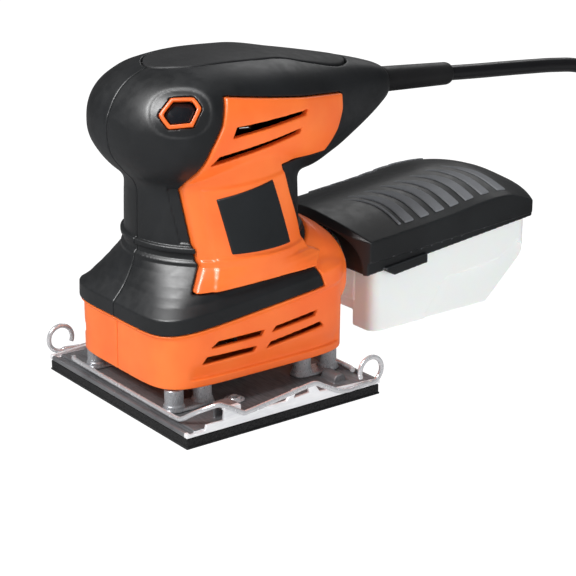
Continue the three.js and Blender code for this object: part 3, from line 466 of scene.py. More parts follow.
# ---------------- solids as distance fields, in mm
class Room:
    """A block of voxels. x, y and z are its coordinates, shaped to broadcast."""

    def __init__(self, low, high, step):
        self.low, self.step = low, step
        axes = [np.arange(a, b + step, step, dtype=np.float32) for a, b in zip(low, high)]
        self.x, self.y, self.z = axes[0][:, None, None], axes[1][None, :, None], axes[2][None, None, :]
        self.axes = (self.x, self.y, self.z)
        self.shape = tuple(len(axis) for axis in axes)

    def evened(self, field):
        """A field scaled so that it falls off at one mm per mm."""
        slopes = np.gradient(field, self.step)
        steep = np.sqrt(sum(slope * slope for slope in slopes))
        return (field / np.clip(steep, 0.2, None)).astype(np.float32)

    def mesh(self, name, field, mirror=None):
        """The surface of a field as a mesh in metres.

        The field covers the side where y is positive. Mirror "right" keeps it there, "left" moves it to the
        other side, and "both" gives the whole.
        """
        field = np.broadcast_to(field, self.shape).astype(np.float32)
        low = list(self.low)
        if mirror == "both":
            field = np.concatenate([field[:, :0:-1, :], field], axis=1)
            low[1] = -(self.shape[1] - 1) * self.step
        field = np.pad(np.clip(field, -3, 3), 1, constant_values=3.0)
        grid = openvdb.FloatGrid(3.0)
        grid.copyFromArray(np.ascontiguousarray(field))
        points, tris, quads = grid.convertToPolygons(isovalue=0.0, adaptivity=0.0)
        points = (points - 1) * self.step + np.array(low)
        faces = [list(map(int, face)) for face in quads] + [list(map(int, face)) for face in tris]
        if mirror == "left":
            points[:, 1] *= -1
            faces = [face[::-1] for face in faces]
        mesh = bpy.data.meshes.new(name)
        mesh.from_pydata((points * MM).tolist(), [], faces)
        mesh.update()
        area_way = sum(Vector(p.center).dot(p.normal) * p.area for p in mesh.polygons)
        if area_way < 0:
            mesh.flip_normals()
        mesh.shade_smooth()
        return mesh


def add_piece(room, name, field, body, material, replaced=None, mirror=None):
    """Adds the surface of a field as a piece."""
    return link(name, room.mesh(name, field, mirror), body, [material], (replaced,) if replaced else ())


def both(a, b, round_mm=0.0):
    """Inside both, with the edge rounded."""
    if not round_mm:
        return np.maximum(a, b)
    blend = np.clip(round_mm - np.abs(a - b), 0, None)
    return np.maximum(a, b) + blend * blend / (4 * round_mm)


def either(a, b, round_mm=0.0):
    """Inside either one, with the inner corner filled."""
    return -both(-a, -b, round_mm)


def without(a, b, round_mm=0.0):
    return both(a, -b, round_mm)


def polygon(u, v, outline):
    """Distance to an outline in a plane, negative inside."""
    nearest = np.full(np.broadcast(u, v).shape, 1e9, dtype=np.float32)
    inside = np.zeros(nearest.shape, dtype=bool)
    for (a, b), (c, d) in zip(outline, outline[1:] + outline[:1]):
        du, dv = c - a, d - b
        along = np.clip(((u - a) * du + (v - b) * dv) / (du * du + dv * dv), 0, 1)
        nearest = np.minimum(nearest, (u - a - along * du) ** 2 + (v - b - along * dv) ** 2)
        crosses = (b > v) != (d > v)
        if dv:
            inside ^= crosses & (u < a + (v - b) * du / dv)
    return np.where(inside, -1, 1).astype(np.float32) * np.sqrt(nearest)


def through(places, values, at):
    """Monotone cubic interpolation."""
    places, values = np.array(places, float), np.array(values, float)
    gaps = np.diff(places)
    slopes = np.diff(values) / gaps
    safe = np.where(slopes == 0, 1, slopes)
    inner = np.where(slopes[:-1] * slopes[1:] > 0, 2 / (1 / safe[:-1] + 1 / safe[1:]), 0)
    tangents = np.concatenate([[slopes[0]], inner, [slopes[-1]]])
    at = np.clip(at, places[0], places[-1])
    k = np.clip(np.searchsorted(places, at) - 1, 0, len(gaps) - 1)
    t = (at - places[k]) / gaps[k]
    line = (1 + 2 * t) * (1 - t) ** 2 * values[k] + t * (1 - t) ** 2 * gaps[k] * tangents[k]
    line = line + t * t * (3 - 2 * t) * values[k + 1]
    line = line + t * t * (t - 1) * gaps[k] * tangents[k + 1]
    return line.astype(np.float32)


def squared(u, v, power):
    """A superellipse's radius ratio."""
    return (np.abs(u) ** power + np.abs(v) ** power) ** (1 / power)


def ramp(value, low, high):
    share = np.clip((value - low) / (high - low), 0, 1)
    return share * share * (3 - 2 * share)


def soft_outline(points, steps=8):
    """A closed outline rounded through its points."""
    count = len(points)
    line = []
    for k in range(count):
        a, b, c, d = (np.array(points[(k + j) % count], float) for j in (-1, 0, 1, 2))
        for t in (j / steps for j in range(steps)):
            line.append(tuple(curved(a, b, c, d, t)))
    return line


# ---------------- the form of the body
MOTOR_X = 0.8
WALL = 2.6
SKIRT_BOTTOM = 17.1
BAND_SLOPE = 0.1    # how the band above the skirt climbs towards the tail
NOSE_X, TAIL_X = -49.1, 92.0
# Height, front X, rear X, half width, squareness.
BASE = [(17.1, -47.8, 49.2, 39.4, 5.5), (38.4, -47.4, 49.2, 40.0, 5.5), (40.4, -49.0, 49.2, 41.4, 5.5),
        (47.2, -48.8, 49.0, 41.3, 5.5), (50.6, -45.4, 46.5, 38.4, 4.6), (53.6, -43.0, 44.4, 37.8, 3.8),
        (57.2, -41.0, 42.4, 37.8, 3.0), (61.4, -39.0, 40.2, 38.2, 2.4), (65.0, -37.9, 39.4, 38.5, 2.0)]
# X, lowest Z, highest Z, half width.
HEAD = [(-49.1, 119.3, 119.7, 0.4), (-48.9, 115.5, 123.5, 8.0), (-47.6, 110.4, 127.2, 17.0),
        (-43.8, 104.6, 134.0, 24.8), (-38.2, 99.0, 139.2, 31.0), (-31.6, 96.0, 142.4, 35.4),
        (-20.6, 95.0, 145.4, 39.2), (-2.0, 95.0, 147.0, 40.3), (18.0, 94.8, 146.6, 38.4),
        (38.0, 91.4, 143.3, 31.8), (54.8, 95.6, 140.1, 24.4), (70.0, 102.0, 136.8, 17.8),
        (82.4, 108.8, 133.6, 13.2), (88.0, 113.0, 131.6, 11.4), (92.0, 116.2, 128.6, 9.4)]
DUCT = [(14.0, 30.0, 75.0, 34.0), (36.0, 30.0, 74.0, 35.0), (42.0, 30.0, 71.4, 34.6),
        (47.0, 30.4, 68.0, 33.8), (50.6, 32.5, 63.6, 31.6)]
SKIRT_LINE = [(-70, 5), (75, 5), (75, 77), (38, 74.2), (27.4, 65.5), (27.3, 58.2), (31, 49), (-47, 40.4),
              (-70, 39)]
PANEL_LINE = [(-30.7, 56), (27.3, 58.2), (33, 63), (27.4, 65.5), (23.5, 76), (16.5, 91), (12, 103.8),
              (39.5, 104.1), (46.6, 112.2), (50.2, 120), (50.4, 126.8), (-16.3, 135.4), (-19.4, 124.4),
              (-23.7, 115.8), (-28.3, 97.7), (-24.5, 65)]
FACET_LINE = [(-26, 50), (60, 50), (60, 98), (12, 101), (-23.6, 97.2), (-19.8, 66)]
GRIP_LINE = soft_outline([(-29, 0), (-26, -9), (-19, -16), (-4, -20), (20, -20.6), (48, -18.4), (63, -12),
                          (68, 0), (63, 12), (48, 18.4), (20, 20.6), (-4, 20), (-19, 16), (-26, 9)])
LABEL_LINE = [(-13.7, 70.2), (15.4, 70.4), (5.2, 99.1), (-19, 93.5)]
SLOTS = [[(-15.4, 119.3), (22.2, 123.4), (23.6, 125.6), (-13.5, 123.6)],
         [(-23.4, 108.2), (18.8, 116.4), (20.2, 118.6), (-20.5, 112.2)],
         [(-26.8, 33.1), (-1.2, 33.3), (0.1, 35.6), (-23.1, 35.6)],
         [(3.8, 33.8), (26.6, 36.2), (27.8, 38.6), (6, 36)],
         [(-30.7, 26.8), (-5.2, 27.2), (-3.5, 29.4), (-28.5, 29.7)],
         [(0.9, 27.2), (31.9, 30.6), (29.5, 32.8), (3.2, 29.6)]]
SWITCH_AT = (-34.4, 31.7, 131)
SWITCH_AXIS = (-0.52, 0.77, 0.37)    # outwards
SWITCH_ACROSS = (0.829, 0.559, 0.0)  # towards the tail
SWITCH_UP = (0.207, -0.307, 0.929)
SWITCH_LINE = [(-8.8, -0.7), (-4.7, -6.4), (4.9, -5.5), (8.6, 1.8), (5.5, 6.3), (-3.5, 6.1)]
BEZEL_WIDTH = 1.5
SCREWS = [(-39.5, 113), (56, 118), (30, 135), (-38, 47), (-41.6, 27)]
SKIRT_SCREW = 4


class Body:
    """The body's outer fields in one room, on the side where y is positive."""

    def __init__(self, room):
        self.room = room
        self.base = self.make_base()
        self.column = self.make_column()
        self.head = self.make_head()
        self.duct = self.make_duct()

    def make_base(self):
        x, y, z = self.room.axes
        level = np.broadcast_to(z, (self.room.shape[0], 1, self.room.shape[2])).astype(np.float32)
        for _ in range(4):  # undo the slope of the band
            share = np.clip((level - SKIRT_BOTTOM) / 21, 0, 1) * np.clip((65 - level) / 14, 0, 1)
            level = z - BAND_SLOPE * share * (x + 48)
        heights = [row[0] for row in BASE]
        front, rear, half, power = (np.interp(level, heights, [row[k] for row in BASE]) for k in (1, 2, 3, 4))
        long = (rear - front) / 2
        ratio = squared((x - (rear + front) / 2) / long, y / half, power)
        field = self.room.evened(((ratio - 1) * np.minimum(long, half)).astype(np.float32))
        return both(both(field, z - 66.5), SKIRT_BOTTOM - z, 0.8)

    def make_column(self):
        x, y, z = self.room.axes
        around = np.sqrt((x - MOTOR_X) ** 2 + y ** 2)
        radius = 37.6 - (z - 56) * (1.4 / 56)
        return both(both(around - radius, z - 119), 40 - z)

    def make_head(self):
        x, y, z = self.room.axes
        places = [math.sqrt(row[0] - NOSE_X) for row in HEAD]
        at = np.sqrt(np.clip(x[:, 0, 0] - NOSE_X, 0, None))
        low, high, half = (through(places, [row[k] for row in HEAD], at)[:, None, None] for k in (1, 2, 3))
        waist = low + (high - low) * 0.52
        rise = np.where(z > waist, (z - waist) / (high - waist), (waist - z) / (waist - low))
        power = np.where(z > waist, 2.7, 2.2)
        field = ((squared(rise, y / half, power) - 1) * np.minimum(half, (high - low) / 2)).astype(np.float32)
        return both(both(self.room.evened(field), NOSE_X - x), x - TAIL_X, 3.0)

    def make_duct(self):
        x, y, z = self.room.axes
        places = [row[0] for row in DUCT]
        low, high, half = (through(places, [row[k] for row in DUCT], x[:, 0, 0])[:, None, None] for k in (1,
                2, 3))
        ratio = squared((z - (low + high) / 2) / ((high - low) / 2), y / half, 2.6)
        field = self.room.evened(((ratio - 1) * np.minimum(half, (high - low) / 2)).astype(np.float32))
        return both(both(field, x - 50.6, 3.0), 16 - x)

    def outer(self, black):
        """The skin: soft corners and the ring for the black housing, crisp for the orange shroud."""
        around = np.sqrt((self.room.x - MOTOR_X) ** 2 + self.room.y ** 2)
        z = self.room.z
        if not black:
            lower = either(either(self.base, self.column, 1.5), self.duct, 2.0)
            return either(lower, self.head, 1.0)
        ring = both(both(around - 38.7, z - 72.9, 0.7), 70.3 - z, 0.7)
        neck = both(both(around - 38.1, z - 67.4, 0.5), 60 - z)
        column = either(either(self.column, ring, 0.3), neck, 0.3)
        return either(either(either(self.base, column, 0.6), self.duct, 1.0), self.head, 5.0)


def slot_cuts(room):
    """The vents through the side wall."""
    cuts = np.minimum.reduce([polygon(room.x, room.z, outline) for outline in SLOTS])
    return both(cuts, 20 - room.y)


def cross_bar(room, x, z, radius):
    return np.sqrt((room.x - x) ** 2 + (room.z - z) ** 2) - radius


def along(room, origin, way):
    """How far the room's points lie from an origin along a direction."""
    offsets = (room.x - origin[0], room.y - origin[1], room.z - origin[2])
    return sum(offset * part for offset, part in zip(offsets, way))


def switch_bar(room):
    """The switch's outline as an endless bar along the button's axis."""
    across, up = along(room, SWITCH_AT, SWITCH_ACROSS), along(room, SWITCH_AT, SWITCH_UP)
    bar = polygon(across, up, SWITCH_LINE)
    corner = squared(across / 8.4, up / 6.8, 3.0) * 6.8 - 6.8
    return both(bar, corner - 0.25, 1.2)


def bosses(room, outer, places):
    """Screw bosses from wall to wall."""
    return np.minimum.reduce([both(cross_bar(room, x, z, 5.2), outer + WALL / 2) for x, z in places])


def add_switch_seat(room, soft, shell):
    """The left shell with the shallow dish and the opening round the push button."""
    bar = switch_bar(room)
    near = 20 - room.y
    across, up = along(room, SWITCH_AT, SWITCH_ACROSS), along(room, SWITCH_AT, SWITCH_UP)
    dish = both((squared(across / 10.6, up / 8.6, 2.3) - 1) * 8.6, near)
    shell = without(shell, both(dish, -(soft + 0.5)), 2.6)
    shell = np.minimum(shell, both(both(soft + 0.5, -(soft + 3.6)), dish - 2.0))
    return without(shell, both(bar - 0.35, near))


def add_shells():
    room = Room((-52, 0, 14), (98, 44, 150), SHELL_STEP)
    x, y, z = room.axes
    body = Body(room)
    soft, crisp = body.outer(True), body.outer(False)
    seam = 0.12 - y
    skirt_flat = polygon(x, z, SKIRT_LINE)
    panel_flat = polygon(x, z, PANEL_LINE)
    # the black housing
    inside = crisp + WALL
    shell = without(soft, inside)
    strip = both(panel_flat - 3.4, both(z - 97, 74.5 - z))
    shell = without(shell, both(strip, -(soft + 0.5)), 0.9)
    grip_flat = polygon(x, y, GRIP_LINE)
    top = 120 - z
    shell = without(shell, both(both(grip_flat - 0.45, -(soft + 1.9)), top), 0.4)
    shell = np.minimum(shell, both(both(both(soft + 1.9, -(soft + 4.2)), grip_flat - 3), top))
    left_shell = add_switch_seat(room, soft, shell)
    relief_bore = both(np.sqrt(y ** 2 + (z - 123.3) ** 2) - 5.6, 82 - x)
    for side, form in (("left", left_shell), ("right", shell)):
        form = np.minimum(form, bosses(room, crisp, SCREWS[:SKIRT_SCREW]))
        form = without(form, relief_bore, 0.5)
        form = without(without(form, skirt_flat - 0.35, 0.6), panel_flat - 0.45, 0.6)
        form = both(form, seam, 0.25)
        for place in SCREWS[:SKIRT_SCREW] if side == "right" else ():
            form = without(form, both(cross_bar(room, *place, 4.1), 5.5 - y), 0.5)
        add_piece(room, f"housing_shell_{side}", form, "root", BLACK, f"housing_{side}",
                  side)
    # the orange shroud
    hollow = 1.3 * (1 - ramp(z, 20.6, 28.5)) * (z > 20.6) * (1 - ramp(np.abs(x - 3), 36, 40)) * (y > 30)
    skirt = both(crisp + hollow, skirt_flat, 0.5)
    proud = 1.0 + 0.9 * ramp(-polygon(x, z, FACET_LINE), -0.6, 0.8)
    outlet = np.sqrt(y ** 2 + (z - 45) ** 2)
    collar = both(both(outlet - 17.2, x - 50.2), 42 - x)
    for side in ("left", "right"):
        if side == "right":    # its front edge is nearly flush
            proud = 0.15 + proud * ramp(x, -24, -12)
        panel = both(crisp - proud, panel_flat, 0.8)
        shroud = np.minimum(without(either(skirt, panel, 0.4), inside), collar)
        shroud = without(shroud, both(outlet - 15.2, 30 - x), 0.4)
        shroud = np.minimum(shroud, bosses(room, crisp, SCREWS[SKIRT_SCREW:]))
        shroud = both(without(shroud, slot_cuts(room), 0.5), seam, 0.3)
        if side == "right":
            shroud = without(shroud, both(cross_bar(room, *SCREWS[SKIRT_SCREW], 4.1), 5.5 - y), 0.5)
        add_piece(room, f"shroud_shell_{side}", shroud, "root", ORANGE, f"shroud_{side}",
                  side)
    # the soft inlay and the label plates
    inlay = both(both(both(soft - 0.1, -(soft + 1.6)), top), grip_flat + 0.15, 0.8)
    add_piece(room, "grip_inlay", inlay, "root", GRIP, "palm_grip", "both")
    label_flat = polygon(x, z, LABEL_LINE)
    plate = both(both(body.column - 2.7, -(body.column - 1.0)), label_flat, 0.5)
    plate = both(plate, 20 - y)
    for side in ("left", "right"):
        add_piece(room, f"label_face_{side}", plate, "root", LABEL, f"label_{side}", side)


def add_switch():
    """The orange ring and the push button set below it, on the left."""
    room = Room((-48, 10, 112), (-14, 44, 144), FINE_STEP)
    skin = Body(room).head
    bar = switch_bar(room)
    depth = -along(room, SWITCH_AT, SWITCH_AXIS)
    ring = both(without(bar, bar + BEZEL_WIDTH, 0.4), skin - 0.3, 0.7)
    ring = both(both(ring, -(skin + 3.0)), depth - 10)
    add_piece(room, "switch_ring", ring, "root", ORANGE, "switch_bezel", "left")
    across, up = along(room, SWITCH_AT, SWITCH_ACROSS), along(room, SWITCH_AT, SWITCH_UP)
    crown = skin + 1.9 + 0.16 * np.clip(across + up * 0.5 + 3.6, 0, None) * (across < 9)
    button = both(both(bar + BEZEL_WIDTH + 0.4, crown, 0.5), depth - 14)
    finger = both(both(np.abs(room.x + 20.5) - 6.5, np.abs(room.y - 18.5) - 6.5), np.abs(room.z - 124.5) - 2)
    button = np.minimum(button, finger)
    add_piece(room, "switch_push_button", button, "switch", SWITCH_BLACK, "switch_button",
              "left")


# ---------------- the dust box
CROWN = [(48.6, 70.8), (60, 71.7), (73.2, 73), (105.8, 76.4), (126.2, 78.6), (140.2, 77.8), (152.1, 74.8),
         (166.4, 68)]
EDGE = [(48.6, 61.2), (58.9, 62), (100, 65.8), (137.3, 70), (155.3, 65.2), (166.4, 61)]
LID_SIDE = 37.3
DOME_POWER = 1.8
RIBS = [(78.5, 1.3), (84, 5.2), (92.9, 5.2), (101.9, 5.2), (110.5, 5.2), (119.5, 5.2), (129, 5.2), (139, 5.2)]
GATE_LINE = [(-20, 30), (20, 30), (20, 50), (15, 57.5), (7, 61), (-7, 61), (-15, 57.5), (-20, 50)]
OUTLET_Z = 45


def rim_at(x):
    """Height of the joint between lid and tub."""
    return 46.9 + 0.1062 * (x - 60)


def lid_height(room):
    """Height of the lid's upper surface, falling from the crown to the side edges."""
    x = room.x[:, 0, 0]
    crown, edge = (through([p[0] for p in line], [p[1] for p in line], x)[:, None, None]
                   for line in (CROWN, EDGE))
    return crown - (crown - edge) * np.clip(room.y / LID_SIDE, 0, 1.1) ** DOME_POWER


def lid_dome(room):
    share = np.clip(room.y / LID_SIDE, 0, 1.1)
    slope = 12 * DOME_POWER / LID_SIDE * share ** (DOME_POWER - 1)
    return (room.z - lid_height(room)) / np.sqrt(1.02 + slope ** 2)


def add_lid():
    room = Room((47, 0, 40), (168, 40, 82), 0.4)
    x, y, z = room.axes
    dome = lid_dome(room)
    step_line = 52.4 + 0.067 * (x - 58.5)
    wall = y - LID_SIDE + 0.9 * (1 - ramp(z, step_line - 0.4, step_line + 0.2))
    rear = (x - 166.4 + 10.6 * (y / LID_SIDE) ** 2) / np.sqrt(1 + (0.57 * y / LID_SIDE) ** 2)
    bow = 49.0 + 9.5 * (y / LID_SIDE) ** 2.4
    face = (bow - x) / np.sqrt(1 + (0.61 * y / LID_SIDE) ** 2)
    chamfer = (bow + 2.6 * (1 - (y / LID_SIDE) ** 4) - x + 0.9 * (z - lid_height(room))) * 0.74
    outer = both(both(both(dome, wall, 0.3), rear, 1.2), both(face, chamfer, 0.3), 0.25)
    outer = both(outer, (rim_at(x) - z) * 0.99, 0.3)
    inner = both(both(both(dome, y - LID_SIDE), rear) + 1.8, 62.6 - x)
    lid = without(outer, inner, 0.6)
    half, rise = 34.0, 22.6
    arch = (squared(y / half, np.clip(z - 44, 0, None) / rise, 2.8) - 1) * rise
    lid = without(lid, both(arch, x - 57.6, 1.0), 0.4)
    gate = polygon(y, z, GATE_LINE) - 0.8
    lid = without(lid, both(gate, np.abs(x - 61) - 5))
    tab = polygon(x, z, [(67.0, rim_at(67) - 0.1), (72, rim_at(72) - 3.2), (91, rim_at(91) - 3.0),
                         (91, rim_at(91) + 1.4), (67, rim_at(67) + 1.4)])
    lid = np.minimum(lid, both(tab, both(y - 38.0, 35.2 - y), 0.5))
    add_piece(room, "lid_shell", lid, "dust_box_lid", LID_BLACK, "dust_lid", "both")
    bands = []
    share = np.clip(1 - y / 27, 0, 1)
    for end, width in RIBS:
        band = np.abs(x - end + 15 * share ** 2.6) - width / 2 * (1 - 0.75 * share ** 3)
        bands.append(band / np.sqrt(1 + (1.3 * share) ** 2))
    ribs = np.minimum.reduce(bands)
    height = 0.55 * ramp(y, 2.0, 12.0)
    ribs = both(both(ribs, y - 33, 0.5), both(dome - height, -(dome + 0.8)), 0.35)
    for side, start in (("left", 3.0), ("right", 24.0)):    # they begin further out on the right
        rows = both(ribs, start - y)
        add_piece(room, f"lid_ribs_{side}", rows, "dust_box_lid", LID_RIB, mirror=side)


def add_tub():
    room = Room((43, 0, 16), (160, 36, 66), 0.45)
    x, y, z = room.axes
    side = polygon(x, z, [(63.2, 17.7), (133.5, 18.3), (157.2, 39.6), (156.5, 80), (63.2, 80)])
    across, deep = np.abs(x - 110.2) - 47, y - 33.2
    plan = np.hypot(np.clip(across + 6, 0, None), np.clip(deep + 6, 0, None))
    plan = plan + np.minimum(np.maximum(across, deep) + 6, 0) - 6
    skin = both(side, plan, 2.2)
    skin = without(skin, both(both(x - 64.6, y - 18.4), z - 43), 0.8)
    skin = without(skin, both(both(x - 88, y - 17.0), z - 24.5), 1.5)
    panel = polygon(x, z, [(94.6, 15), (95.1, 21.4), (104.8, 34.2), (106.5, 35.4), (139.5, 38.4),
                           (150.5, 45.6), (170, 30), (140, 10)])
    skin = without(skin, both(panel, 31.3 - y), 0.5)
    tub = without(both(skin, z - rim_at(x) - 3.4), skin + 1.8)
    ledge = both(both(skin - 0.9, -(skin + 1.0)), np.abs(z - rim_at(x) - 2.6) - 0.7, 0.4)
    tub = np.minimum(tub, ledge)
    tub = np.minimum(tub, both(polygon(y, z, GATE_LINE), np.abs(x - 64.2) - 0.9, 0.4))
    outlet = np.sqrt(y ** 2 + (z - OUTLET_Z) ** 2)
    tub = np.minimum(tub, both(both(outlet - 14.4, x - 64.5), 44 - x, 0.6))
    tub = without(tub, both(outlet - 12.6, x - 68), 0.3)
    add_piece(room, "tub_shell", tub, "dust_box", FROSTED, "dust_container", "both")


# ---------------- the platen
PAD_HALF = (49.8, 55.2)  # along X and Y
FLANGE_LINE = [(-49.6, 5), (49.6, 5), (49.5, 7.1), (23.3, 8.6), (17.3, 9.1), (15.1, 12.2), (12.1, 13.6),
               (3.3, 13.2), (-0.3, 9), (-23, 8.9), (-23.2, 13.4), (-31.4, 13.4), (-32, 8.4), (-40.2, 8.5),
               (-40.9, 6.1), (-49.6, 6.3)]
FOOT_AT = (32.9, 31)
RIVETS = [(-14, -37), (14, 37)]
FEET = {"front_left": (-1, -1), "front_right": (-1, 1), "rear_left": (1, -1), "rear_right": (1, 1)}


def add_plate():
    """The stamped platen: the half on the left, turned half round for the right."""
    room = Room((-50.2, -55.6, 4.2), (50.2, 0.4, 17), FINE_STEP)
    x, y, z = room.axes
    half_x, half_y = PAD_HALF
    flat = both(both(np.abs(x) - half_x, -half_y - y), y)
    sheet = both(flat, both(z - 5.6, 4.9 - z), 0.3)
    raised = both(both(np.abs(x) - 45.3, -53.4 - y), both(z - 6.8, 5 - z), 0.9)
    step = both(both(np.abs(x) - 38.5, -46.5 - y), both(z - 6.85, 5 - z), 0.6)
    lip = both(both(np.abs(np.abs(x) - 48.9) - 0.9, -half_y - y), both(z - 6.8, 5 - z), 0.6)
    plate = np.minimum(np.minimum(sheet, either(raised, step, 0.4)), lip)
    rim = polygon(x, z, FLANGE_LINE)
    plate = either(plate, both(rim, np.abs(y + 54.5) - 0.7, 0.5), 0.5)
    fold = both(np.abs(x + 27.3) - 4.1, both(np.abs(y + 50.8) - 4.4, np.abs(z - 12.75) - 0.65), 0.5)
    leg = both(np.abs(x + 27.3) - 4.1, both(np.abs(y + 47.1) - 0.75, np.abs(z - 9.6) - 3.7), 0.5)
    plate = np.minimum(plate, either(fold, leg, 0.5))
    dome = squared((x - 33.7) / 3.3, np.clip(z - 6.2, 0, None) / 4.3, 2.3) * 3.3 - 3.3
    boss = both(dome, both(-48 - y, y + 38.5), 0.5)
    plate = either(plate, both(boss, 5 - z), 0.7)
    window = both(polygon(x, z, [(3.6, 9.4), (11.6, 9.9), (11, 12), (4.6, 11.6)]), y + 53)
    plate = without(plate, window, 0.3)
    hub = np.sqrt(x ** 2 + y ** 2)
    plate = either(plate, both(hub - 16.4, both(z - 16.2, 5 - z), 0.6), 0.8)
    plate = without(plate, both(hub - 13.3, 8 - z), 0.3)
    plate = without(plate, hub - 9)
    for place in RIVETS:
        plate = without(plate, np.hypot(x - place[0], y - place[1]) - 2.3)
    plate = both(plate, y)
    for turned, name in ((False, "plate_half_left"), (True, "plate_half_right")):
        mesh = room.mesh(name, plate)
        if turned:
            mesh.transform(Matrix.Rotation(math.pi, 4, "Z"))
        bright = [face.index for face in mesh.polygons if abs(face.center.y) > 0.0533]
        link(name, mesh, "platen", [PLATE, FLANGE], () if turned else ("base_plate",))
        for index in bright:
            mesh.polygons[index].material_index = 1


def add_pad():
    """The foam pad with its thin facing, rounded at the edges."""
    half_x, half_y = PAD_HALF
    for name, low, high, grow in (("foam_block", 0.9, 4.45, -0.3), ("foam_facing", 0.0, 0.9, 0.0)):
        corners = [(sx * (half_x + grow), sy * (half_y + grow), z) for z in (low, high) for sx, sy in
                   ((-1, -1), (1, -1), (1, 1), (-1, 1))]
        mesh = bpy.data.meshes.new(name)
        mesh.from_pydata([tuple(v * MM for v in c) for c in corners], [],
                         [(3, 2, 1, 0), (4, 5, 6, 7), (0, 1, 5, 4), (1, 2, 6, 5), (2, 3, 7, 6), (3, 0, 4, 7)])
        pad = link(name, mesh, "platen", [FOAM if grow else FACING],
                   ("pad_foam",) if grow else ())
        round_edges(pad, 0.35, 3)


def round_edges(piece, width_mm, segments):
    bevel = piece.modifiers.new("edges", "BEVEL")
    bevel.width = width_mm * MM
    bevel.segments = segments
    bevel.limit_method = "ANGLE"
    bevel.angle_limit = math.radians(35)
    bevel.harden_normals = False


def add_feet():
    """Two posts on a pad at each corner."""
    room = Room((-13, -6, 6.8), (13, 6, 17.2), FINE_STEP)
    x, y, z = room.axes
    waist = 0.5 * ramp(z, 9.2, 10.2)
    pillars = np.hypot(np.abs(x) - 7, y) - 4.5 + waist
    pillars = both(pillars, z - 16.6, 1.0)
    pad = both(squared(x / 11.9, y / 4.9, 3.2) * 4.9 - 4.9, z - 8.3, 0.8)
    foot = both(either(pillars, pad, 0.6), 7.1 - z)
    for place, (sx, sy) in FEET.items():
        mesh = room.mesh(f"foot_posts_{place}", foot)
        mesh.transform(Matrix.Translation(Vector((sx * FOOT_AT[0], sy * FOOT_AT[1], 0)) * MM))
        link(f"foot_posts_{place}", mesh, "platen", [SATIN], (f"foot_{place}",))


def lathe(name, profile, body, material, replaces=(), at=(0, 0), sides=48):
    """A profile of radius and height in mm, turned about a vertical line."""
    count = len(profile)
    points, faces = [], []
    for k in range(sides):
        angle = 2 * math.pi * k / sides
        way_x, way_y = math.cos(angle), math.sin(angle)
        points += [((at[0] + r * way_x) * MM, (at[1] + r * way_y) * MM, z * MM) for r, z in profile]
    for k in range(sides):
        a, b = k * count, (k + 1) % sides * count
        faces += [(a + i, b + i, b + (i + 1) % count, a + (i + 1) % count) for i in range(count)]
    mesh = bpy.data.meshes.new(name)
    mesh.from_pydata(points, [], faces)
    mesh.shade_smooth()
    mesh.set_sharp_from_angle(angle=math.radians(50))
    return link(name, mesh, body, [material], replaces)


def add_rivets():
    rim = [(1.2, 4), (2, 4), (2, 7.05), (4.3, 7.05), (4.45, 7.3), (4.3, 7.6), (3.6, 7.75), (3.0, 7.75),
           (2.7, 8.3), (2.3, 8.6), (1.7, 8.5), (1.3, 8.2)]
    for side, place in zip(("left", "right"), RIVETS):
        lathe(f"rivet_eyelet_{side}", rim, "platen", WIRE, (f"plate_rivet_{side}",), at=place)


LEVER_Y = -56.75
WIRE_RADIUS = 1.05


def add_clamps():
    """The wires that hold the paper, front and rear.

    Each has a bail across the pad's end and a lever with a loop along its side.
    """
    route = [(-44.5, 43, 8.4), (-45.3, 41.5, 8.3), (-45.8, 38, 8.3), (-45.9, 20, 8.3), (-45.9, 0, 8.3),
             (-45.9, -25, 8.3), (-45.9, -41, 8.4), (-45.3, -45.4, 9.2), (-42.6, -49.2, 12),
             (-39.4, LEVER_Y + 3.2, 14.8), (-35.6, LEVER_Y + 0.4, 16.4), (-32.8, LEVER_Y, 15.6),
             (-27.5, LEVER_Y, 12.7), (-23.6, LEVER_Y, 10.4), (-20.6, LEVER_Y, 10.1), (-4, LEVER_Y, 12.2),
             (9.6, LEVER_Y, 14), (13.8, LEVER_Y, 14), (17.6, LEVER_Y, 12), (25.6, LEVER_Y, 7.9),
             (28.9, LEVER_Y, 7), (33, LEVER_Y, 6.8)]
    turns = 24
    for k in range(turns + 1):
        angle = -math.pi / 2 - 0.4 + k / turns * (2 * math.pi - 0.75)
        route.append((43.3 + 5.9 * math.cos(angle), LEVER_Y, 12.9 + 5.9 * math.sin(angle)))
    for name, way in (("front", 1), ("rear", -1)):
        line = [(way * px, way * py, pz) for px, py, pz in smooth_through(route, 4)]
        round_line(f"clamp_wire_line_{name}", line, WIRE_RADIUS, f"clamp_{name}", WIRE,
                   (f"clamp_wire_{name}",))


# ---------------- the strain relief and the plug
def add_relief():
    """A smooth rubber sleeve round the cord, held by its groove and rounded at its free end."""
    bore = CORD_RADIUS + 0.05
    profile = [(bore, 0), (5.4, 0), (5.4, 2.4), (4.7, 2.4), (4.7, 9.7), (5.5, 9.7), (5.8, 10.1), (5.75, 12)]
    profile += [(5.75 - 0.5 * k / 8, 12 + 36.6 * k / 8) for k in range(1, 9)]
    profile += [(5.15, 49.4), (4.85, 50.2), (4.4, 50.75), (4.0, 51), (bore, 51)]
    relief = lathe("strain_relief_sleeve", profile, "root", RUBBER, ("strain_relief",),
                   sides=56)
    turn = RELIEF_WAY.normalized().to_track_quat("Z", "Y").to_matrix().to_4x4()
    relief.data.transform(Matrix.Translation(RELIEF_START * MM) @ turn)


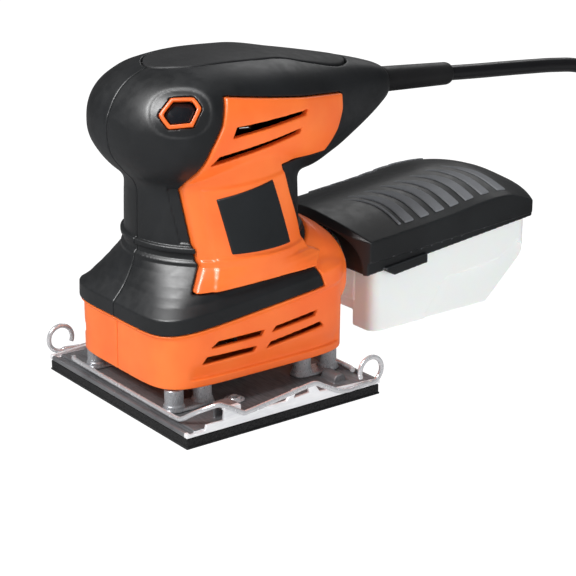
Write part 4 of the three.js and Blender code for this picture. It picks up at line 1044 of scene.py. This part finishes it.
def add_plug():
    """A moulded two-pole plug lying on the floor, its two blades away from the coil."""
    room = Room((185, -117, 0), (222, -95, 16), FINE_STEP)
    x, y, z = room.axes
    plan = soft_outline([(219, -110.3), (219, -101.7), (212.5, -100.2), (205, -97), (191, -96.8),
            (188.2, -99.4), (188.2, -112.6), (191, -115.2), (205, -115), (212.5, -111.8)], 4)
    side = polygon(x, z, [(187, 0.35), (219.4, 0.9), (219.4, 10.8), (212, 12.2), (204, 14.2), (190, 14.2),
            (187, 12.6)])
    plug = both(polygon(x, y, plan), side, 2.2)
    grooves = np.abs((x - 198.5) - 3.4 * np.round((x - 198.5) / 3.4)) - 0.55
    grooves = both(both(grooves, np.abs(x - 198.5) - 7.6), both(-(plug + 0.6), -1))
    plug = without(plug, both(grooves, np.abs(z - 7.2) - 4.2), 0.35)
    add_piece(room, "plug_moulded", plug, "root", CORD_RUBBER, "plug_body")
    for side_name, middle in (("left", -112.35), ("right", -99.65)):
        blade_room = Room((170.5, middle - 1.5, 3.5), (188, middle + 1.5, 11.2), FINE_STEP / 2)
        bx, by, bz = blade_room.axes
        outline = polygon(bx, bz, [(171.4, 4.9), (172.2, 4.25), (187.6, 4.25), (187.6, 10.45),
                (172.2, 10.45), (171.4, 9.8)])
        blade = both(outline, np.abs(by - middle) - 0.72, 0.35)
        blade = without(blade, np.hypot(bx - 174.8, bz - 7.35) - 1.5, 0.15)
        add_piece(blade_room, f"plug_pin_{side_name}", blade, "root", BRASS,
                  f"plug_blade_{side_name}")


# ---------------- pieces kept from the CAD
KEPT = [
    (STEEL, [*(f"housing_screw_{number}" for number in range(1, 6)), "motor_shaft", "eccentric",
             "upper_bearing", "lower_bearing", "pad_bearing", "pad_bearing_screw",
             "cord_clamp_screw_left", "cord_clamp_screw_right"]),
    (LAMINATION, ["rotor_core", "stator_core"]),
    (COPPER, ["rotor_winding_lower", "rotor_winding_upper", "field_coil_front", "field_coil_rear"]),
    (COMMUTATOR, ["commutator"]),
    (BRASS, ["brush_holder_left", "brush_holder_right"]),
    (CARBON, ["brush_left", "brush_right"]),
    (CAST, ["bearing_bracket"]),
    (FAN, ["cooling_fan"]),
    (LABEL, ["switch_body", "cord_clamp"]),
    (RUBBER, ["upper_bearing_boot", "outlet_seal"]),
    (PAPER, ["dust_filter"]),
]


def finish_kept():
    for material, names in KEPT:
        for name in names:
            piece = bpy.data.objects[name]
            piece.data.materials.clear()
            piece.data.materials.append(material)


add_shells()
add_switch()
add_lid()
add_tub()
add_plate()
add_pad()
add_feet()
add_rivets()
add_clamps()
add_relief()
add_plug()
finish_kept()
